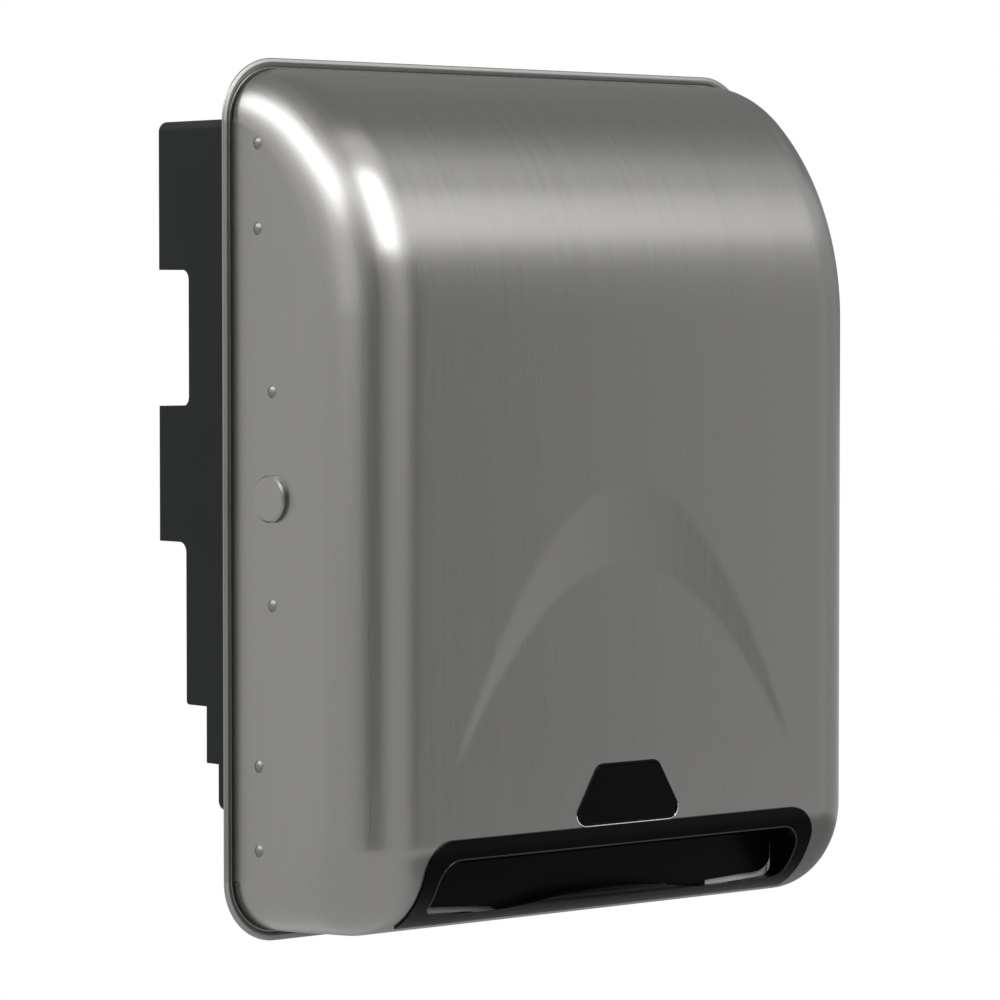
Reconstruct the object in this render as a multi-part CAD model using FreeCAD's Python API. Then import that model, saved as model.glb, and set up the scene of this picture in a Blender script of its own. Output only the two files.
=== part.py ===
import FreeCAD, Part
import math
import os

# Automatic roll towel dispenser, semi-recessed. Millimetres.
# X to the right seen from the front, Y into the wall, Z up.
# The origin is the centre of the wall screws, on the face of the wall.

V = FreeCAD.Vector

# Cover, pressed from one stainless sheet
cover_width = 337.8
cover_height = 416.6
foot = -cover_height / 2       # lower edge; the mouth, window and drive are placed from here
projection = 101.6            # front of the cover to the wall
rim_gap = 5.0                 # rim to the wall, room for the rim to swing
sheet = 0.9
rim_width = 4.8
rim_hem = 1.6                 # the rim's edge is folded double
rim_corner = 29.8
rim_fillet = 1.5
side_draft = 1.8              # degrees
bottom_draft = 2.5            # degrees, the underside rises to the front
corner_at_rim = 25.0
corner_at_front = 33.0
crown_drop = 118.3            # from the rim down to where the front turns upright
crown_radius = 76.0           # first arc of the crown, from the rim
chin_radius = 46.0

# Arch embossed in the front
arch_top = foot + 217.3
arch_floor_top = foot + 177.3
arch_foot = foot + 85.3
arch_half_width = 108.0
arch_end_share = 0.955        # the ramp stops short of the two points where it has no width
arch_depth = 1.9

# Tub that sits in the wall
tub_depth = 101.6
tub_wall = 2.5
tub_top = cover_height / 2 - 26.4
tub_bottom = foot + 55.5
tub_corner = 5.0
tub_lip = 18.5                # flange beyond the tub's sides
tub_lip_top = 13.0
tub_lip_bottom = 40.7
flange = 2.5
shelf_depth = 78.8            # tub behind the batteries
shelf_top = foot + 185.0
sump_depth = 64.1             # tub behind the drive
sump_top = foot + 105.8
toe_depth = 54.6
toe_top = foot + 78.3
pocket_depth = 76.3           # side pockets that carry the roll arms
pocket_width = 30.0
pocket_above = 35.5           # beyond the roll's axis
pocket_below = 31.0
pocket_fillet = 5.0
back_fillet = 2.0
wall_screw_edge = 10.0        # beyond the tub's side
wall_screw_z = 95.0
wall_screw_hole = 2.5
rib = 2.0

# Towel roll, which sets the arms and the cavity
roll_diameter = 186.0
roll_width = 203.2
arm_room = 25.4               # from the roll's end to the outside of the tub
roll_y = 2.0
roll_z = 74.0
core_radius = 18.6

# Door furniture
fitting_z = 2.5               # middle of the fittings on the cover's sides
hinge_pitch = 290.0           # between the two hinges
hinge_inset = 12.9            # from the rim's edge to the pin
hinge_y = -21.5
pin_radius = 2.0
rivet_pitch = 39.6
rivet_y = -25.5
lock_y = -35.5
lock_rivet_pitch = 99.2
rivet_radius = 3.0
rivet_shank = 1.6
plate = 1.5
lock_head = 11.1
lock_barrel = 9.5
lock_length = 22.0
core_of_lock = 5.5
cam_length = 26.0
cam_half = 6.5

# Sensor window and mouth
window_top = foot + 82.0
window_bottom = foot + 55.3
window_top_half = 18.6
window_bottom_half = 34.6
window_corner = 4.5
window_lip = 1.6
mouth_top = foot + 53.6
mouth_half = 124.3
mouth_corner = 16.0
mouth_edge_y = -77.0          # rear edge of the bezel, on the chin
bezel_proud = 1.0
bezel_bar = 9.4
bezel_side = 9.0
bezel_wall = 1.8
tunnel_back = -80.0
slot_front = -86.0
lip_low = foot + 16.4         # lowest part of the mouth's lower edge
lip_wave = ((1.0, 1.3), (0.8, 0.3), (0.6, 0.0), (0.45, 1.3), (0.3, 4.0), (0.15, 5.3))   # share of half, rise
lip_middle_rise = 5.7
lip_corner = 6.0

# Drive: rubber roller, pinch roller and gears
frame_room = 12.5             # between the frame plates and the tub
frame_plate = 2.0
drive_y = -50.0
drive_z = foot + 80.3
drive_radius = 13.0
shaft_radius = 4.0
sleeve_length = 26.0
sleeve_pitch = 42.0
sleeve_count = 5
pinch_radius = 7.5
pinch_length = 18.0
pinch_shaft = 2.5
pinch_lift = 20.0             # degrees that the pinch roller stands above the drive roller
nip = 0.3
bush_wall = 3.0
module_out = 1.0
module_in = 0.8
drive_teeth = 36
idler_small_teeth = 14
idler_big_teeth = 40
pinion_teeth = 12
gear_width = 5.0
gear_gap = 1.0
backlash = 0.12
idler_angle = 25.0
motor_angle = 55.0
idler_pin = 2.5
motor_radius = 13.5
motor_length = 38.0
motor_shaft = 1.5
wheel_radius = 15.0

# Paper guide, seen through the mouth
guide_overlap = 0.7           # behind the sides of the mouth
guide_wall = 2.0
guide_front = -79.0
guide_low = foot + 15.5
blade_low = foot + 13.9
blade_end = foot + 36.3
blade = 1.2
blade_pitch = 4.0
blade_tooth = 1.6
blade_screw_x = (-98.0, 0.0, 98.0)
blade_screw_z = foot + 31.3
blade_screw_radius = 1.5
blade_screw_grip = 1.4        # into the back of the guide

# Batteries, board and controls
cell_radius = 16.6
cell_length = 60.0
box_wall = 2.0
box_left = -68.0
box_bottom = foot + 108.8
board = 1.6
panel_gap = 8.0               # beside the battery box
panel_side = 3.5              # to the tub's wall
knob_travel = 2.5
button_travel = 1.5

# Clearances
running = 0.06                # radial, a shaft in its bush
gap = 0.3                     # between pieces that pass or stand face to face
loose = 1.0

# Places worked out from the sizes above
front_y = -projection
rim_y = -rim_gap
body_half = cover_width / 2 - rim_width
body_top = cover_height / 2 - rim_width
body_bottom = -body_top
draft = math.tan(math.radians(side_draft))
crown_end = body_top - crown_drop
under = math.radians(bottom_draft)
chin_y = front_y + chin_radius
chin_z = body_bottom + (rim_y - chin_y) * math.tan(under) + chin_radius / math.cos(under)
tub_half = roll_width / 2 + arm_room
tub_inner = tub_half - tub_wall
wall_screw_x = tub_half + wall_screw_edge
frame_half = tub_inner - frame_room
hinge_x = cover_width / 2 - hinge_inset
guide_half = mouth_half - bezel_side + guide_overlap
pocket_x = tub_half - pocket_width
pocket_low = roll_z - pocket_below
pocket_high = roll_z + pocket_above
pocket_face = pocket_depth - tub_wall
shelf_face = shelf_depth - tub_wall
toe_face = toe_depth - tub_wall
hinge_heights = [fitting_z + hinge_pitch / 2, fitting_z - hinge_pitch / 2]
pinch_gap = drive_radius + pinch_radius + nip
pinch_y = drive_y - pinch_gap * math.cos(math.radians(pinch_lift))
pinch_z = drive_z + pinch_gap * math.sin(math.radians(pinch_lift))
idler_reach = module_out * (drive_teeth + idler_small_teeth) / 2
idler_y = drive_y + idler_reach * math.cos(math.radians(idler_angle))
idler_z = drive_z + idler_reach * math.sin(math.radians(idler_angle))
motor_reach = module_in * (idler_big_teeth + pinion_teeth) / 2
motor_y = idler_y + motor_reach * math.cos(math.radians(motor_angle))
motor_z = idler_z + motor_reach * math.sin(math.radians(motor_angle))
gear_x = frame_half + 2.0
gear_x2 = gear_x + gear_width + gear_gap
sleeve_places = [(i - (sleeve_count - 1) / 2) * sleeve_pitch for i in range(sleeve_count)]


# Small helpers
def box(x0, x1, y0, y1, z0, z1):
    return Part.makeBox(x1 - x0, y1 - y0, z1 - z0, V(x0, y0, z0))


def rod(radius, start, end):
    way = end.sub(start)
    return Part.makeCylinder(radius, way.Length, start, way)


def rod_x(radius, x0, x1, y, z):
    return rod(radius, V(x0, y, z), V(x1, y, z))


def rod_y(radius, y0, y1, x, z):
    return rod(radius, V(x, y0, z), V(x, y1, z))


def rod_z(radius, z0, z1, x, y):
    return rod(radius, V(x, y, z0), V(x, y, z1))


def tube_x(outer, inner, x0, x1, y, z):
    return rod_x(outer, x0, x1, y, z).cut(rod_x(inner, x0, x1, y, z))


def face_of(points):
    return Part.Face(Part.makePolygon(points + points[:1]))


def plate_yz(points, x0, x1):
    return face_of([V(x0, y, z) for y, z in points]).extrude(V(x1 - x0, 0, 0))


def plate_xz(points, y0, y1):
    return face_of([V(x, y0, z) for x, z in points]).extrude(V(0, y1 - y0, 0))


def plate_xy(points, z0, z1):
    return face_of([V(x, y, z0) for x, y in points]).extrude(V(0, 0, z1 - z0))


def round_along(shape, radius, axis, pick=None):
    edges = []
    for edge in shape.Edges:
        if edge.Curve.TypeId != "Part::GeomLine":
            continue
        way = edge.tangentAt(edge.FirstParameter)
        if abs(abs(way.dot(axis)) - 1) > 1e-6:
            continue
        if pick is None or pick(edge.CenterOfMass):
            edges.append(edge)
    return shape.makeFillet(radius, edges)


def rounded_plate(half_x, z0, z1, y0, y1, radius):
    return round_along(box(-half_x, half_x, y0, y1, z0, z1), radius, V(0, 1, 0))


def fuse(shapes):
    result = shapes[0]
    if len(shapes) > 1:
        result = result.fuse(shapes[1:])
    return result.removeSplitter()


def mirrored(shape):
    return shape.mirror(V(0, 0, 0), V(1, 0, 0))


def save(node, *solids):
    shape = solids[0] if len(solids) == 1 else Part.makeCompound(list(solids))
    shape.exportStep("parts/" + node + ".step")
    count = len(shape.Solids)
    print(node, count, "valid" if shape.isValid() else "INVALID", round(shape.Volume))


# Cover
def crown_wide_radius():
    reach = projection - rim_gap
    return (reach ** 2 + crown_drop ** 2 - 2 * crown_drop * crown_radius) / (2 * (reach - crown_radius))


def side_profile(inset):
    # closed outline of the cover's body seen from the side
    front = front_y + inset
    start = V(0, rim_y, body_top - inset)
    end = V(0, front, crown_end)
    # two tangent arcs; the second one's radius follows from where both have to end
    wide = crown_wide_radius()
    tight_centre = V(0, rim_y, body_top - crown_radius)
    wide_centre = V(0, front_y + wide, crown_end)
    way = tight_centre.sub(wide_centre).normalize()
    seam = tight_centre + way * (crown_radius - inset)
    turn = math.atan2(way.z, -way.y)
    above = (turn + math.pi / 2) / 2
    below = turn / 2
    tight_middle = tight_centre + V(0, -math.cos(above), math.sin(above)) * (crown_radius - inset)
    wide_middle = wide_centre + V(0, -math.cos(below), math.sin(below)) * (wide - inset)
    radius = chin_radius - inset

    def on_chin(angle):
        return V(0, chin_y - radius * math.cos(angle), chin_z - radius * math.sin(angle))

    chin_start = on_chin(0)
    chin_middle = on_chin((math.pi / 2 - under) / 2)
    chin_end = on_chin(math.pi / 2 - under)
    back = V(0, rim_y, body_bottom + inset / math.cos(under))
    return Part.Wire([
        Part.Arc(start, tight_middle, seam).toShape(),
        Part.Arc(seam, wide_middle, end).toShape(),
        Part.makeLine(end, chin_start),
        Part.Arc(chin_start, chin_middle, chin_end).toShape(),
        Part.makeLine(chin_end, back),
        Part.makeLine(back, start),
    ])


def wall_x(y):
    # outside of the cover's right wall
    return body_half - (rim_y - y) * draft


def plain_body(inset):
    profile = Part.Face(side_profile(inset))
    slab = profile.extrude(V(cover_width, 0, 0))
    slab.translate(V(-cover_width / 2, 0, 0))
    behind = rim_y + loose
    before = front_y - 2 * loose
    wedge = plate_xy([
        (-wall_x(behind) + inset, behind),
        (wall_x(behind) - inset, behind),
        (wall_x(before) - inset, before),
        (-wall_x(before) + inset, before),
    ], -cover_height, cover_height)
    return slab.common(wedge)


def corner_radius(y, inset):
    share = (rim_y - y) / (rim_y - front_y)
    share = min(1.0, max(0.0, share))
    return corner_at_rim + (corner_at_front - corner_at_rim) * share - inset


def rounded_body(inset):
    # the corners widen from the rim to the front
    body = plain_body(inset)
    document = FreeCAD.newDocument("corners")
    source = document.addObject("Part::Feature", "body")
    source.Shape = body
    fillet = document.addObject("Part::Fillet", "fillet")
    fillet.Base = source
    corners = []
    for number, edge in enumerate(body.Edges):
        ends = [edge.valueAt(edge.FirstParameter), edge.valueAt(edge.LastParameter)]
        at_side = all(abs(p.x) > body_half / 2 for p in ends) and ends[0].x * ends[1].x > 0
        in_rim = all(abs(p.y - rim_y) < 1e-6 for p in ends)
        if at_side and not in_rim:
            corners.append((number + 1, corner_radius(ends[0].y, inset), corner_radius(ends[1].y, inset)))
    fillet.Edges = corners
    document.recompute()
    shape = fillet.Shape.copy()
    FreeCAD.closeDocument(document.Name)
    return shape


def arch_curve(top, level):
    # a parabola from one end of the arch to the other; level gives its depth at a height
    drop = (top - arch_foot) * arch_end_share ** 2
    half = arch_half_width * arch_end_share
    ends = [V(side * half, level(top - drop), top - drop) for side in (-1, 1)]
    middle = V(0, level(top + drop), top + drop)
    curve = Part.BezierCurve()
    curve.setPoles([ends[0], middle, ends[1]])
    return curve.toShape()


def arch_cutters(shift):
    # a sloping floor that runs out to nothing at the foot, and the ramp up to the front
    slope = arch_depth / (arch_floor_top - arch_foot)
    lead = 4 * loose

    def on_floor(z):
        return front_y + shift + (z - arch_foot) * slope

    def on_front(z):
        return front_y + shift

    outer = arch_curve(arch_top, on_front)
    inner = arch_curve(arch_floor_top, on_floor)
    ramp = Part.makeRuledSurface(outer, inner)
    first = inner.valueAt(inner.FirstParameter)
    last = inner.valueAt(inner.LastParameter)
    foot_first = V(first.x, on_floor(arch_foot), arch_foot)
    foot_last = V(last.x, on_floor(arch_foot), arch_foot)
    floor = Part.Face(Part.Wire([
        inner,
        Part.makeLine(last, foot_last),
        Part.makeLine(foot_last, foot_first),
        Part.makeLine(foot_first, first),
    ]))
    forward = V(0, -lead - arch_depth, 0)
    return [ramp.extrude(forward), floor.extrude(forward)]


def window_prism(grow, y0, y1):
    shape = plate_xz([
        (-window_bottom_half - grow, window_bottom - grow),
        (window_bottom_half + grow, window_bottom - grow),
        (window_top_half + grow, window_top + grow),
        (-window_top_half - grow, window_top + grow),
    ], y0, y1)
    return round_along(shape, window_corner + grow, V(0, 1, 0))


def on_right_wall(shape, y, z):
    # local x points out of the wall, local y back along it
    placed = shape.copy()
    placed.rotate(V(0, 0, 0), V(0, 0, 1), -side_draft)
    placed.translate(V(wall_x(y), y, z))
    return placed


def rivet_places():
    # side, y, z
    places = []
    for height in hinge_heights:
        for step in (-0.5, 0.5):
            places.append((-1, rivet_y, height + step * rivet_pitch))
    for side in (-1, 1):
        for step in (-0.5, 0.5):
            places.append((side, lock_y, fitting_z + step * lock_rivet_pitch))
    return places


def on_wall(shape, side, y, z):
    placed = on_right_wall(shape, y, z)
    return placed if side > 0 else mirrored(placed)


def mouth_block(half_x, top, y0, y1, corner):
    # front view of the mouth: rounded above, open below
    block = box(-half_x, half_x, y0, y1, body_bottom - rim_width, top)
    return round_along(block, corner, V(0, 1, 0), lambda p: p.z > top - loose)


def cover_shell():
    outer = rounded_body(0)
    rim = rounded_plate(cover_width / 2, -cover_height / 2, cover_height / 2, rim_y - rim_hem, rim_y, rim_corner)
    shell = outer.fuse(rim)
    root = rim_y - rim_hem
    joint = [e for e in shell.Edges if all(abs(v.Point.y - root) < 1e-4 for v in e.Vertexes)
             and abs(e.CenterOfMass.y - root) < 1e-4
             and e.BoundBox.XMax < cover_width / 2 - loose and e.BoundBox.XMin > -cover_width / 2 + loose
             and e.BoundBox.ZMax < cover_height / 2 - loose and e.BoundBox.ZMin > -cover_height / 2 + loose]
    shell = shell.makeFillet(rim_fillet, joint)
    inner = rounded_body(sheet)
    for cutter in arch_cutters(0):
        shell = shell.cut(cutter)
    for cutter in arch_cutters(sheet):
        inner = inner.cut(cutter)
    shell = shell.cut(inner)
    shell = shell.cut(window_prism(gap, front_y - loose, front_y + 4 * loose))
    cut = mouth_block(mouth_half - bezel_side / 2, mouth_top - bezel_bar / 2, front_y - loose,
                      mouth_edge_y - bezel_side / 2, mouth_corner - bezel_side / 2)
    shell = shell.cut(cut)
    hole = rod_x(lock_barrel + gap / 3, -2 * sheet, sheet, 0, 0)
    for side in (-1, 1):
        shell = shell.cut(on_wall(hole, side, lock_y, fitting_z))
    small = rod_x(rivet_shank, -2 * sheet, sheet, 0, 0)
    for side, y, z in rivet_places():
        shell = shell.cut(on_wall(small, side, y, z))
    return shell


def rivets():
    # domed head outside, shank through sheet and plate, flat tail inside
    head_height = 1.3
    sphere_radius = (rivet_radius ** 2 + head_height ** 2) / (2 * head_height)
    ball = Part.makeSphere(sphere_radius, V(head_height - sphere_radius, 0, 0))
    head = ball.common(box(0, head_height, -rivet_radius, rivet_radius, -rivet_radius, rivet_radius))
    tail_start = -sheet - plate
    shank = rod_x(rivet_shank, tail_start, 0, 0, 0)
    tail = rod_x(rivet_shank * 1.6, tail_start - 1.2, tail_start, 0, 0)
    rivet = fuse([head, shank, tail])
    return [on_wall(rivet, side, y, z) for side, y, z in rivet_places()]


def plug_button():
    # blank plug in the spare lock hole on the left wall
    head_height = 2.6
    head = rod_x(lock_head, 0, head_height, 0, 0)
    head = head.makeChamfer(0.9, [e for e in head.Edges if e.BoundBox.XMin > head_height / 2])
    skirt = tube_x(lock_barrel, lock_barrel - 1.5, -5.0, 0, 0, 0)
    return on_wall(fuse([head, skirt]), -1, lock_y, fitting_z)


def lock_plates():
    # stiffening plate behind each wall, held by two rivets
    half_y = 14.0
    half_z = lock_rivet_pitch / 2 + 7.0
    blank = box(-sheet - plate, -sheet, -half_y, half_y, -half_z, half_z)
    blank = round_along(blank, 5.0, V(1, 0, 0))
    blank = blank.cut(rod_x(lock_barrel + gap / 3, -2 * plate - sheet, 0, 0, 0))
    for step in (-0.5, 0.5):
        blank = blank.cut(rod_x(rivet_shank, -2 * plate - sheet, 0, 0, step * lock_rivet_pitch))
    return [on_wall(blank, side, lock_y, fitting_z) for side in (-1, 1)]


ear = 1.5
ear_radius = 3.8
housing_ear = 10.0            # half the height of the housing's bracket between its ears
cover_ear = housing_ear + ear + gap


def cover_hinge_leaf(height):
    # leaf riveted to the cover's left wall, with two ears for the pin
    back = 10.0
    front = 4.0
    half_z = rivet_pitch / 2 + 3.6
    leaf = box(-sheet - plate, -sheet, -front, back, -half_z, half_z)
    leaf = round_along(leaf, 3.5, V(1, 0, 0))
    for step in (-0.5, 0.5):
        leaf = leaf.cut(rod_x(rivet_shank, -2 * plate - sheet, 0, 0, step * rivet_pitch))
    leaf = on_right_wall(leaf, rivet_y, height)
    inside = wall_x(hinge_y) - sheet - plate
    parts = [leaf]
    for low in (height + cover_ear, height - cover_ear - ear):
        arm = box(hinge_x, inside, hinge_y - ear_radius, hinge_y + ear_radius, low, low + ear)
        eye = rod_z(ear_radius, low, low + ear, hinge_x, hinge_y)
        parts += [arm, eye]
    bracket = fuse(parts)
    bracket = bracket.cut(rod_z(pin_radius + running, height - 30, height + 30, hinge_x, hinge_y))
    return mirrored(bracket)


bracket_screw_y = (5.0, 17.0)
bracket_screw_rise = 6.0


def housing_hinge(height):
    # tongue screwed inside the tub's left wall; two ears reach out round the cover's rim
    deep = 22.0
    half_z = housing_ear + ear
    front = box(tub_inner - plate, tub_inner, hinge_y - ear_radius, -flange - loose, height - half_z, height + half_z)
    tongue = box(tub_inner - plate, tub_inner, -flange - loose, deep, height + 0.5, height + half_z)
    tongue = round_along(tongue, 4.0, V(1, 0, 0), lambda p: p.y > 0)
    parts = [front, tongue]
    for low in (height + housing_ear, height - housing_ear - ear):
        arm = box(tub_inner - plate, hinge_x, hinge_y - ear_radius, hinge_y + ear_radius - 1.0, low, low + ear)
        eye = rod_z(ear_radius - 0.5, low, low + ear, hinge_x, hinge_y)
        parts += [arm, eye]
    bracket = fuse(parts)
    bracket = bracket.cut(rod_z(pin_radius, height - 30, height + 30, hinge_x, hinge_y))
    for y in bracket_screw_y:
        bracket = bracket.cut(rod_x(rivet_shank, 0, tub_half, y, height + bracket_screw_rise))
    return mirrored(bracket)


def hinge_pin(height):
    top = height + cover_ear + ear + gap
    pin = rod_z(pin_radius, height - cover_ear - ear - 2.0, top, hinge_x, hinge_y)
    head = rod_z(pin_radius + 1.4, top, top + 1.2, hinge_x, hinge_y)
    return mirrored(fuse([pin, head]))


def side_screw(y, z):
    # short screw through a bracket into the right wall of the tub
    shank = rod_x(rivet_shank, tub_inner - plate, tub_half, y, z)
    head = rod_x(rivet_radius, tub_inner - plate - 1.8, tub_inner - plate, y, z)
    return fuse([shank, head])


def hinge_screws():
    return [mirrored(side_screw(y, height + bracket_screw_rise)) for height in hinge_heights for y in bracket_screw_y]


# Lock
cam_x = -sheet - lock_length - 2.4


def lock_body():
    head = rod_x(lock_head, 0, 3.2, 0, 0)
    head = head.makeChamfer(0.9, [e for e in head.Edges if e.BoundBox.XMin > 1.0])
    barrel = rod_x(lock_barrel, -sheet - lock_length, 0, 0, 0)
    body = fuse([head, barrel])
    body = body.cut(rod_x(core_of_lock + running, -sheet - lock_length - loose, 4.0, 0, 0))
    return on_right_wall(body, lock_y, fitting_z)


def lock_nut():
    across = lock_barrel + 3.6
    points = [(across * math.cos(math.radians(60 * i)), across * math.sin(math.radians(60 * i))) for i in range(6)]
    nut = plate_yz(points, -sheet - plate - 2.5, -sheet - plate)
    nut = nut.cut(rod_x(lock_barrel, -2 * lock_length, 0, 0, 0))
    return on_right_wall(nut, lock_y, fitting_z)


def lock_core():
    core = rod_x(core_of_lock, cam_x + 2.0, 3.2, 0, 0)
    slot = box(3.2 - 9.0, 4.0, -0.7, 0.7, -3.6, 3.6)
    return on_right_wall(core.cut(slot), lock_y, fitting_z)


def lock_cam():
    # points into the wall when unlocked, upwards when locked
    arm = plate_yz([(-cam_half, -cam_half), (cam_length, -cam_half), (cam_length, cam_half), (-cam_half, cam_half)],
                   cam_x, cam_x + 2.0)
    arm = round_along(arm, 4.0, V(1, 0, 0))
    arm = arm.cut(rod_x(2.0, cam_x - loose, cam_x + 3.0, 0, 0))
    return on_right_wall(arm, lock_y, fitting_z)


def cam_screw():
    shape = rod_x(4.0, cam_x - 2.0, cam_x, 0, 0).fuse(rod_x(2.0, cam_x, cam_x + 2.0, 0, 0))
    return on_right_wall(shape.removeSplitter(), lock_y, fitting_z)


keeper_low = fitting_z + cam_half + 6.0
keeper_high = fitting_z + cam_length + 4.0
keeper_middle = (keeper_low + keeper_high) / 2
keeper_screw_y = (6.0, 18.0)


def lock_keeper():
    # hook that the cam turns up behind
    reach = wall_x(lock_y) + cam_x + 8.0
    hook_back = lock_y - cam_half - loose
    leaf = box(tub_inner - plate, tub_inner, hook_back - plate, 24.0, keeper_low, keeper_high)
    hook = box(tub_inner - plate, reach, hook_back - plate, hook_back, keeper_low, keeper_high)
    keeper = fuse([leaf, hook])
    keeper = round_along(keeper, 3.0, V(1, 0, 0), lambda p: p.y > 0)
    for y in keeper_screw_y:
        keeper = keeper.cut(rod_x(rivet_shank, 0, tub_half, y, keeper_middle))
    return keeper


def keeper_screws():
    return [side_screw(y, keeper_middle) for y in keeper_screw_y]


# Window and mouth
def sensor_window():
    face = window_prism(0, front_y - 0.6, front_y + sheet + gap)
    front_edges = [e for e in face.Edges if e.BoundBox.YMax < front_y - 0.5]
    face = face.makeChamfer(0.3, front_edges)
    lip = window_prism(window_lip, front_y + sheet + gap, front_y + sheet + gap + 1.4)
    return fuse([face, lip])


def window_seal():
    ring = window_prism(window_lip, front_y + sheet, front_y + sheet + gap)
    return ring.cut(window_prism(gap, front_y, front_y + 2 * loose))


def lip_edge(y, grow):
    # lower edge of the mouth: low beside the middle, raised across it
    half = mouth_half - bezel_side + grow
    points = [V(-share * half, y, lip_low + rise - grow) for share, rise in lip_wave]
    points.append(V(0, y, lip_low + lip_middle_rise - grow))
    points += [V(-p.x, y, p.z) for p in reversed(points[:-1])]
    curve = Part.BSplineCurve()
    curve.interpolate(points)
    return curve.toShape()


def mouth_opening(grow, y0, y1):
    half = mouth_half - bezel_side + grow
    top = mouth_top - bezel_bar + grow
    low = lip_edge(y0, grow)
    a = low.valueAt(low.FirstParameter)
    b = low.valueAt(low.LastParameter)
    outline = Part.Wire([
        low,
        Part.makeLine(b, V(half, y0, top)),
        Part.makeLine(V(half, y0, top), V(-half, y0, top)),
        Part.makeLine(V(-half, y0, top), a),
    ])
    shape = Part.Face(outline).extrude(V(0, y1 - y0, 0))
    shape = round_along(shape, lip_corner + grow, V(0, 1, 0), lambda p: p.z < lip_low + 3 * loose)
    return round_along(shape, mouth_corner - bezel_side / 2 + grow, V(0, 1, 0), lambda p: p.z > top - loose)


def chin_profile(inset):
    profile = Part.Face(side_profile(inset))
    slab = profile.extrude(V(2 * mouth_half, 0, 0))
    slab.translate(V(-mouth_half, 0, 0))
    return slab


def mouth_bezel():
    # a ring that lies over the edge of the sheet and lines the mouth
    outline = mouth_block(mouth_half, mouth_top, front_y - 4 * loose, mouth_edge_y, mouth_corner)
    skin = chin_profile(-bezel_proud).cut(chin_profile(0)).common(outline)
    inside = mouth_block(mouth_half - bezel_side / 2 - gap, mouth_top - bezel_bar / 2 - gap, front_y - 4 * loose,
                         mouth_edge_y - bezel_side / 2 - gap, mouth_corner - bezel_side / 2)
    core = chin_profile(-bezel_proud).cut(chin_profile(sheet + bezel_wall)).common(inside)
    lining = mouth_opening(bezel_wall, front_y - 4 * loose, tunnel_back)
    lining = lining.common(chin_profile(-bezel_proud))
    beside_sheet = chin_profile(0).cut(chin_profile(sheet + gap)).cut(inside)
    lining = lining.cut(beside_sheet)
    half = mouth_half - bezel_side
    keep = box(-half, half, slot_front, tunnel_back + loose, mouth_top - bezel_bar - 2.0, mouth_top)
    lining = lining.cut(keep)
    bezel = fuse([skin, core, lining])
    return bezel.cut(mouth_opening(0, front_y - 8 * loose, tunnel_back + 8 * loose))


# Tub
def tub_side(inset, front):
    # side view of the tub as steps of depth
    levels = [(tub_top, tub_depth), (shelf_top, shelf_depth), (sump_top, sump_depth), (toe_top, toe_depth)]
    points = [(front, tub_top - inset)]
    for number, (top, depth) in enumerate(levels):
        step = top - inset if number == 0 else top + inset
        points.append((depth - inset, step))
        low = levels[number + 1][0] + inset if number + 1 < len(levels) else tub_bottom + inset
        points.append((depth - inset, low))
    points.append((front, tub_bottom + inset))
    return points


def tub_block(inset, front):
    block = plate_yz(tub_side(inset, front), -tub_half + inset, tub_half - inset)
    outline = rounded_plate(tub_half - inset, tub_bottom + inset, tub_top - inset, front - loose, tub_depth + loose,
                            tub_corner - inset)
    return block.common(outline)


def pocket_blocks(inset):
    blocks = []
    for side in (-1, 1):
        near = side * (pocket_x - inset)
        far = side * (tub_half + tub_wall)
        blocks.append(box(min(near, far), max(near, far), pocket_depth - inset, tub_depth + tub_wall,
                          pocket_low - inset, pocket_high + inset))
    return blocks


def straight_edges(shape, depth, heights, upright):
    # straight edges in one of the tub's back faces: those along X at the heights given, and the upright ones
    chosen = []
    for edge in shape.Edges:
        ends = [v.Point for v in edge.Vertexes]
        if len(ends) < 2 or edge.Length < tub_lip or any(abs(p.y - depth) > 1e-4 for p in ends):
            continue
        along_x = abs(ends[0].x - ends[1].x) > loose
        if along_x and min(abs(ends[0].z - height) for height in heights) < 1e-4:
            chosen.append(edge)
        if upright and not along_x:
            chosen.append(edge)
    return chosen


def round_back(outer):
    inner_corners = straight_edges(outer, pocket_depth, [pocket_low, pocket_high], False)
    inner_corners += straight_edges(outer, shelf_depth, [shelf_top], False)
    outer = outer.makeFillet(pocket_fillet, inner_corners)
    for depth, heights, upright in (
            (tub_depth, [tub_top, pocket_high, pocket_low, shelf_top], True),
            (shelf_depth, [sump_top], False),
            (sump_depth, [toe_top], True),
            (toe_depth, [tub_bottom], False)):
        outer = outer.makeFillet(back_fillet, straight_edges(outer, depth, heights, upright))
    return outer


def rear_housing():
    outer = tub_block(0, -flange)
    for block in pocket_blocks(0):
        outer = outer.cut(block)
    outer = round_back(outer)
    lip = rounded_plate(tub_half + tub_lip, tub_bottom - tub_lip_bottom, tub_top + tub_lip_top, -flange, 0, tub_corner)
    inner = tub_block(tub_wall, -2 * flange)
    for block in pocket_blocks(tub_wall):
        inner = inner.cut(block)
    tub = outer.fuse(lip).cut(inner)
    parts = [tub]
    # ribs under the lip, outside the tub
    for side in (-1, 1):
        for z in (-120.0, -60.0, 0.0, 130.0):
            near = side * tub_half
            points = [(near, 0), (near + side * (tub_lip - 4.0), 0), (near, 16.0)]
            parts.append(plate_xy(points, z - rib / 2, z + rib / 2))
    tub = fuse(parts)
    for x in (-wall_screw_x, wall_screw_x):
        for z in (-wall_screw_z, wall_screw_z):
            tub = tub.cut(rod_y(wall_screw_hole, -2 * flange, flange, x, z))
    for height in hinge_heights:
        for y in bracket_screw_y:
            z = height + bracket_screw_rise
            tub = tub.cut(rod_x(rivet_shank, -tub_half - loose, -tub_inner + loose, y, z))
    for y in keeper_screw_y:
        tub = tub.cut(rod_x(rivet_shank, tub_inner - loose, tub_half + loose, y, keeper_middle))
    return tub


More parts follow.
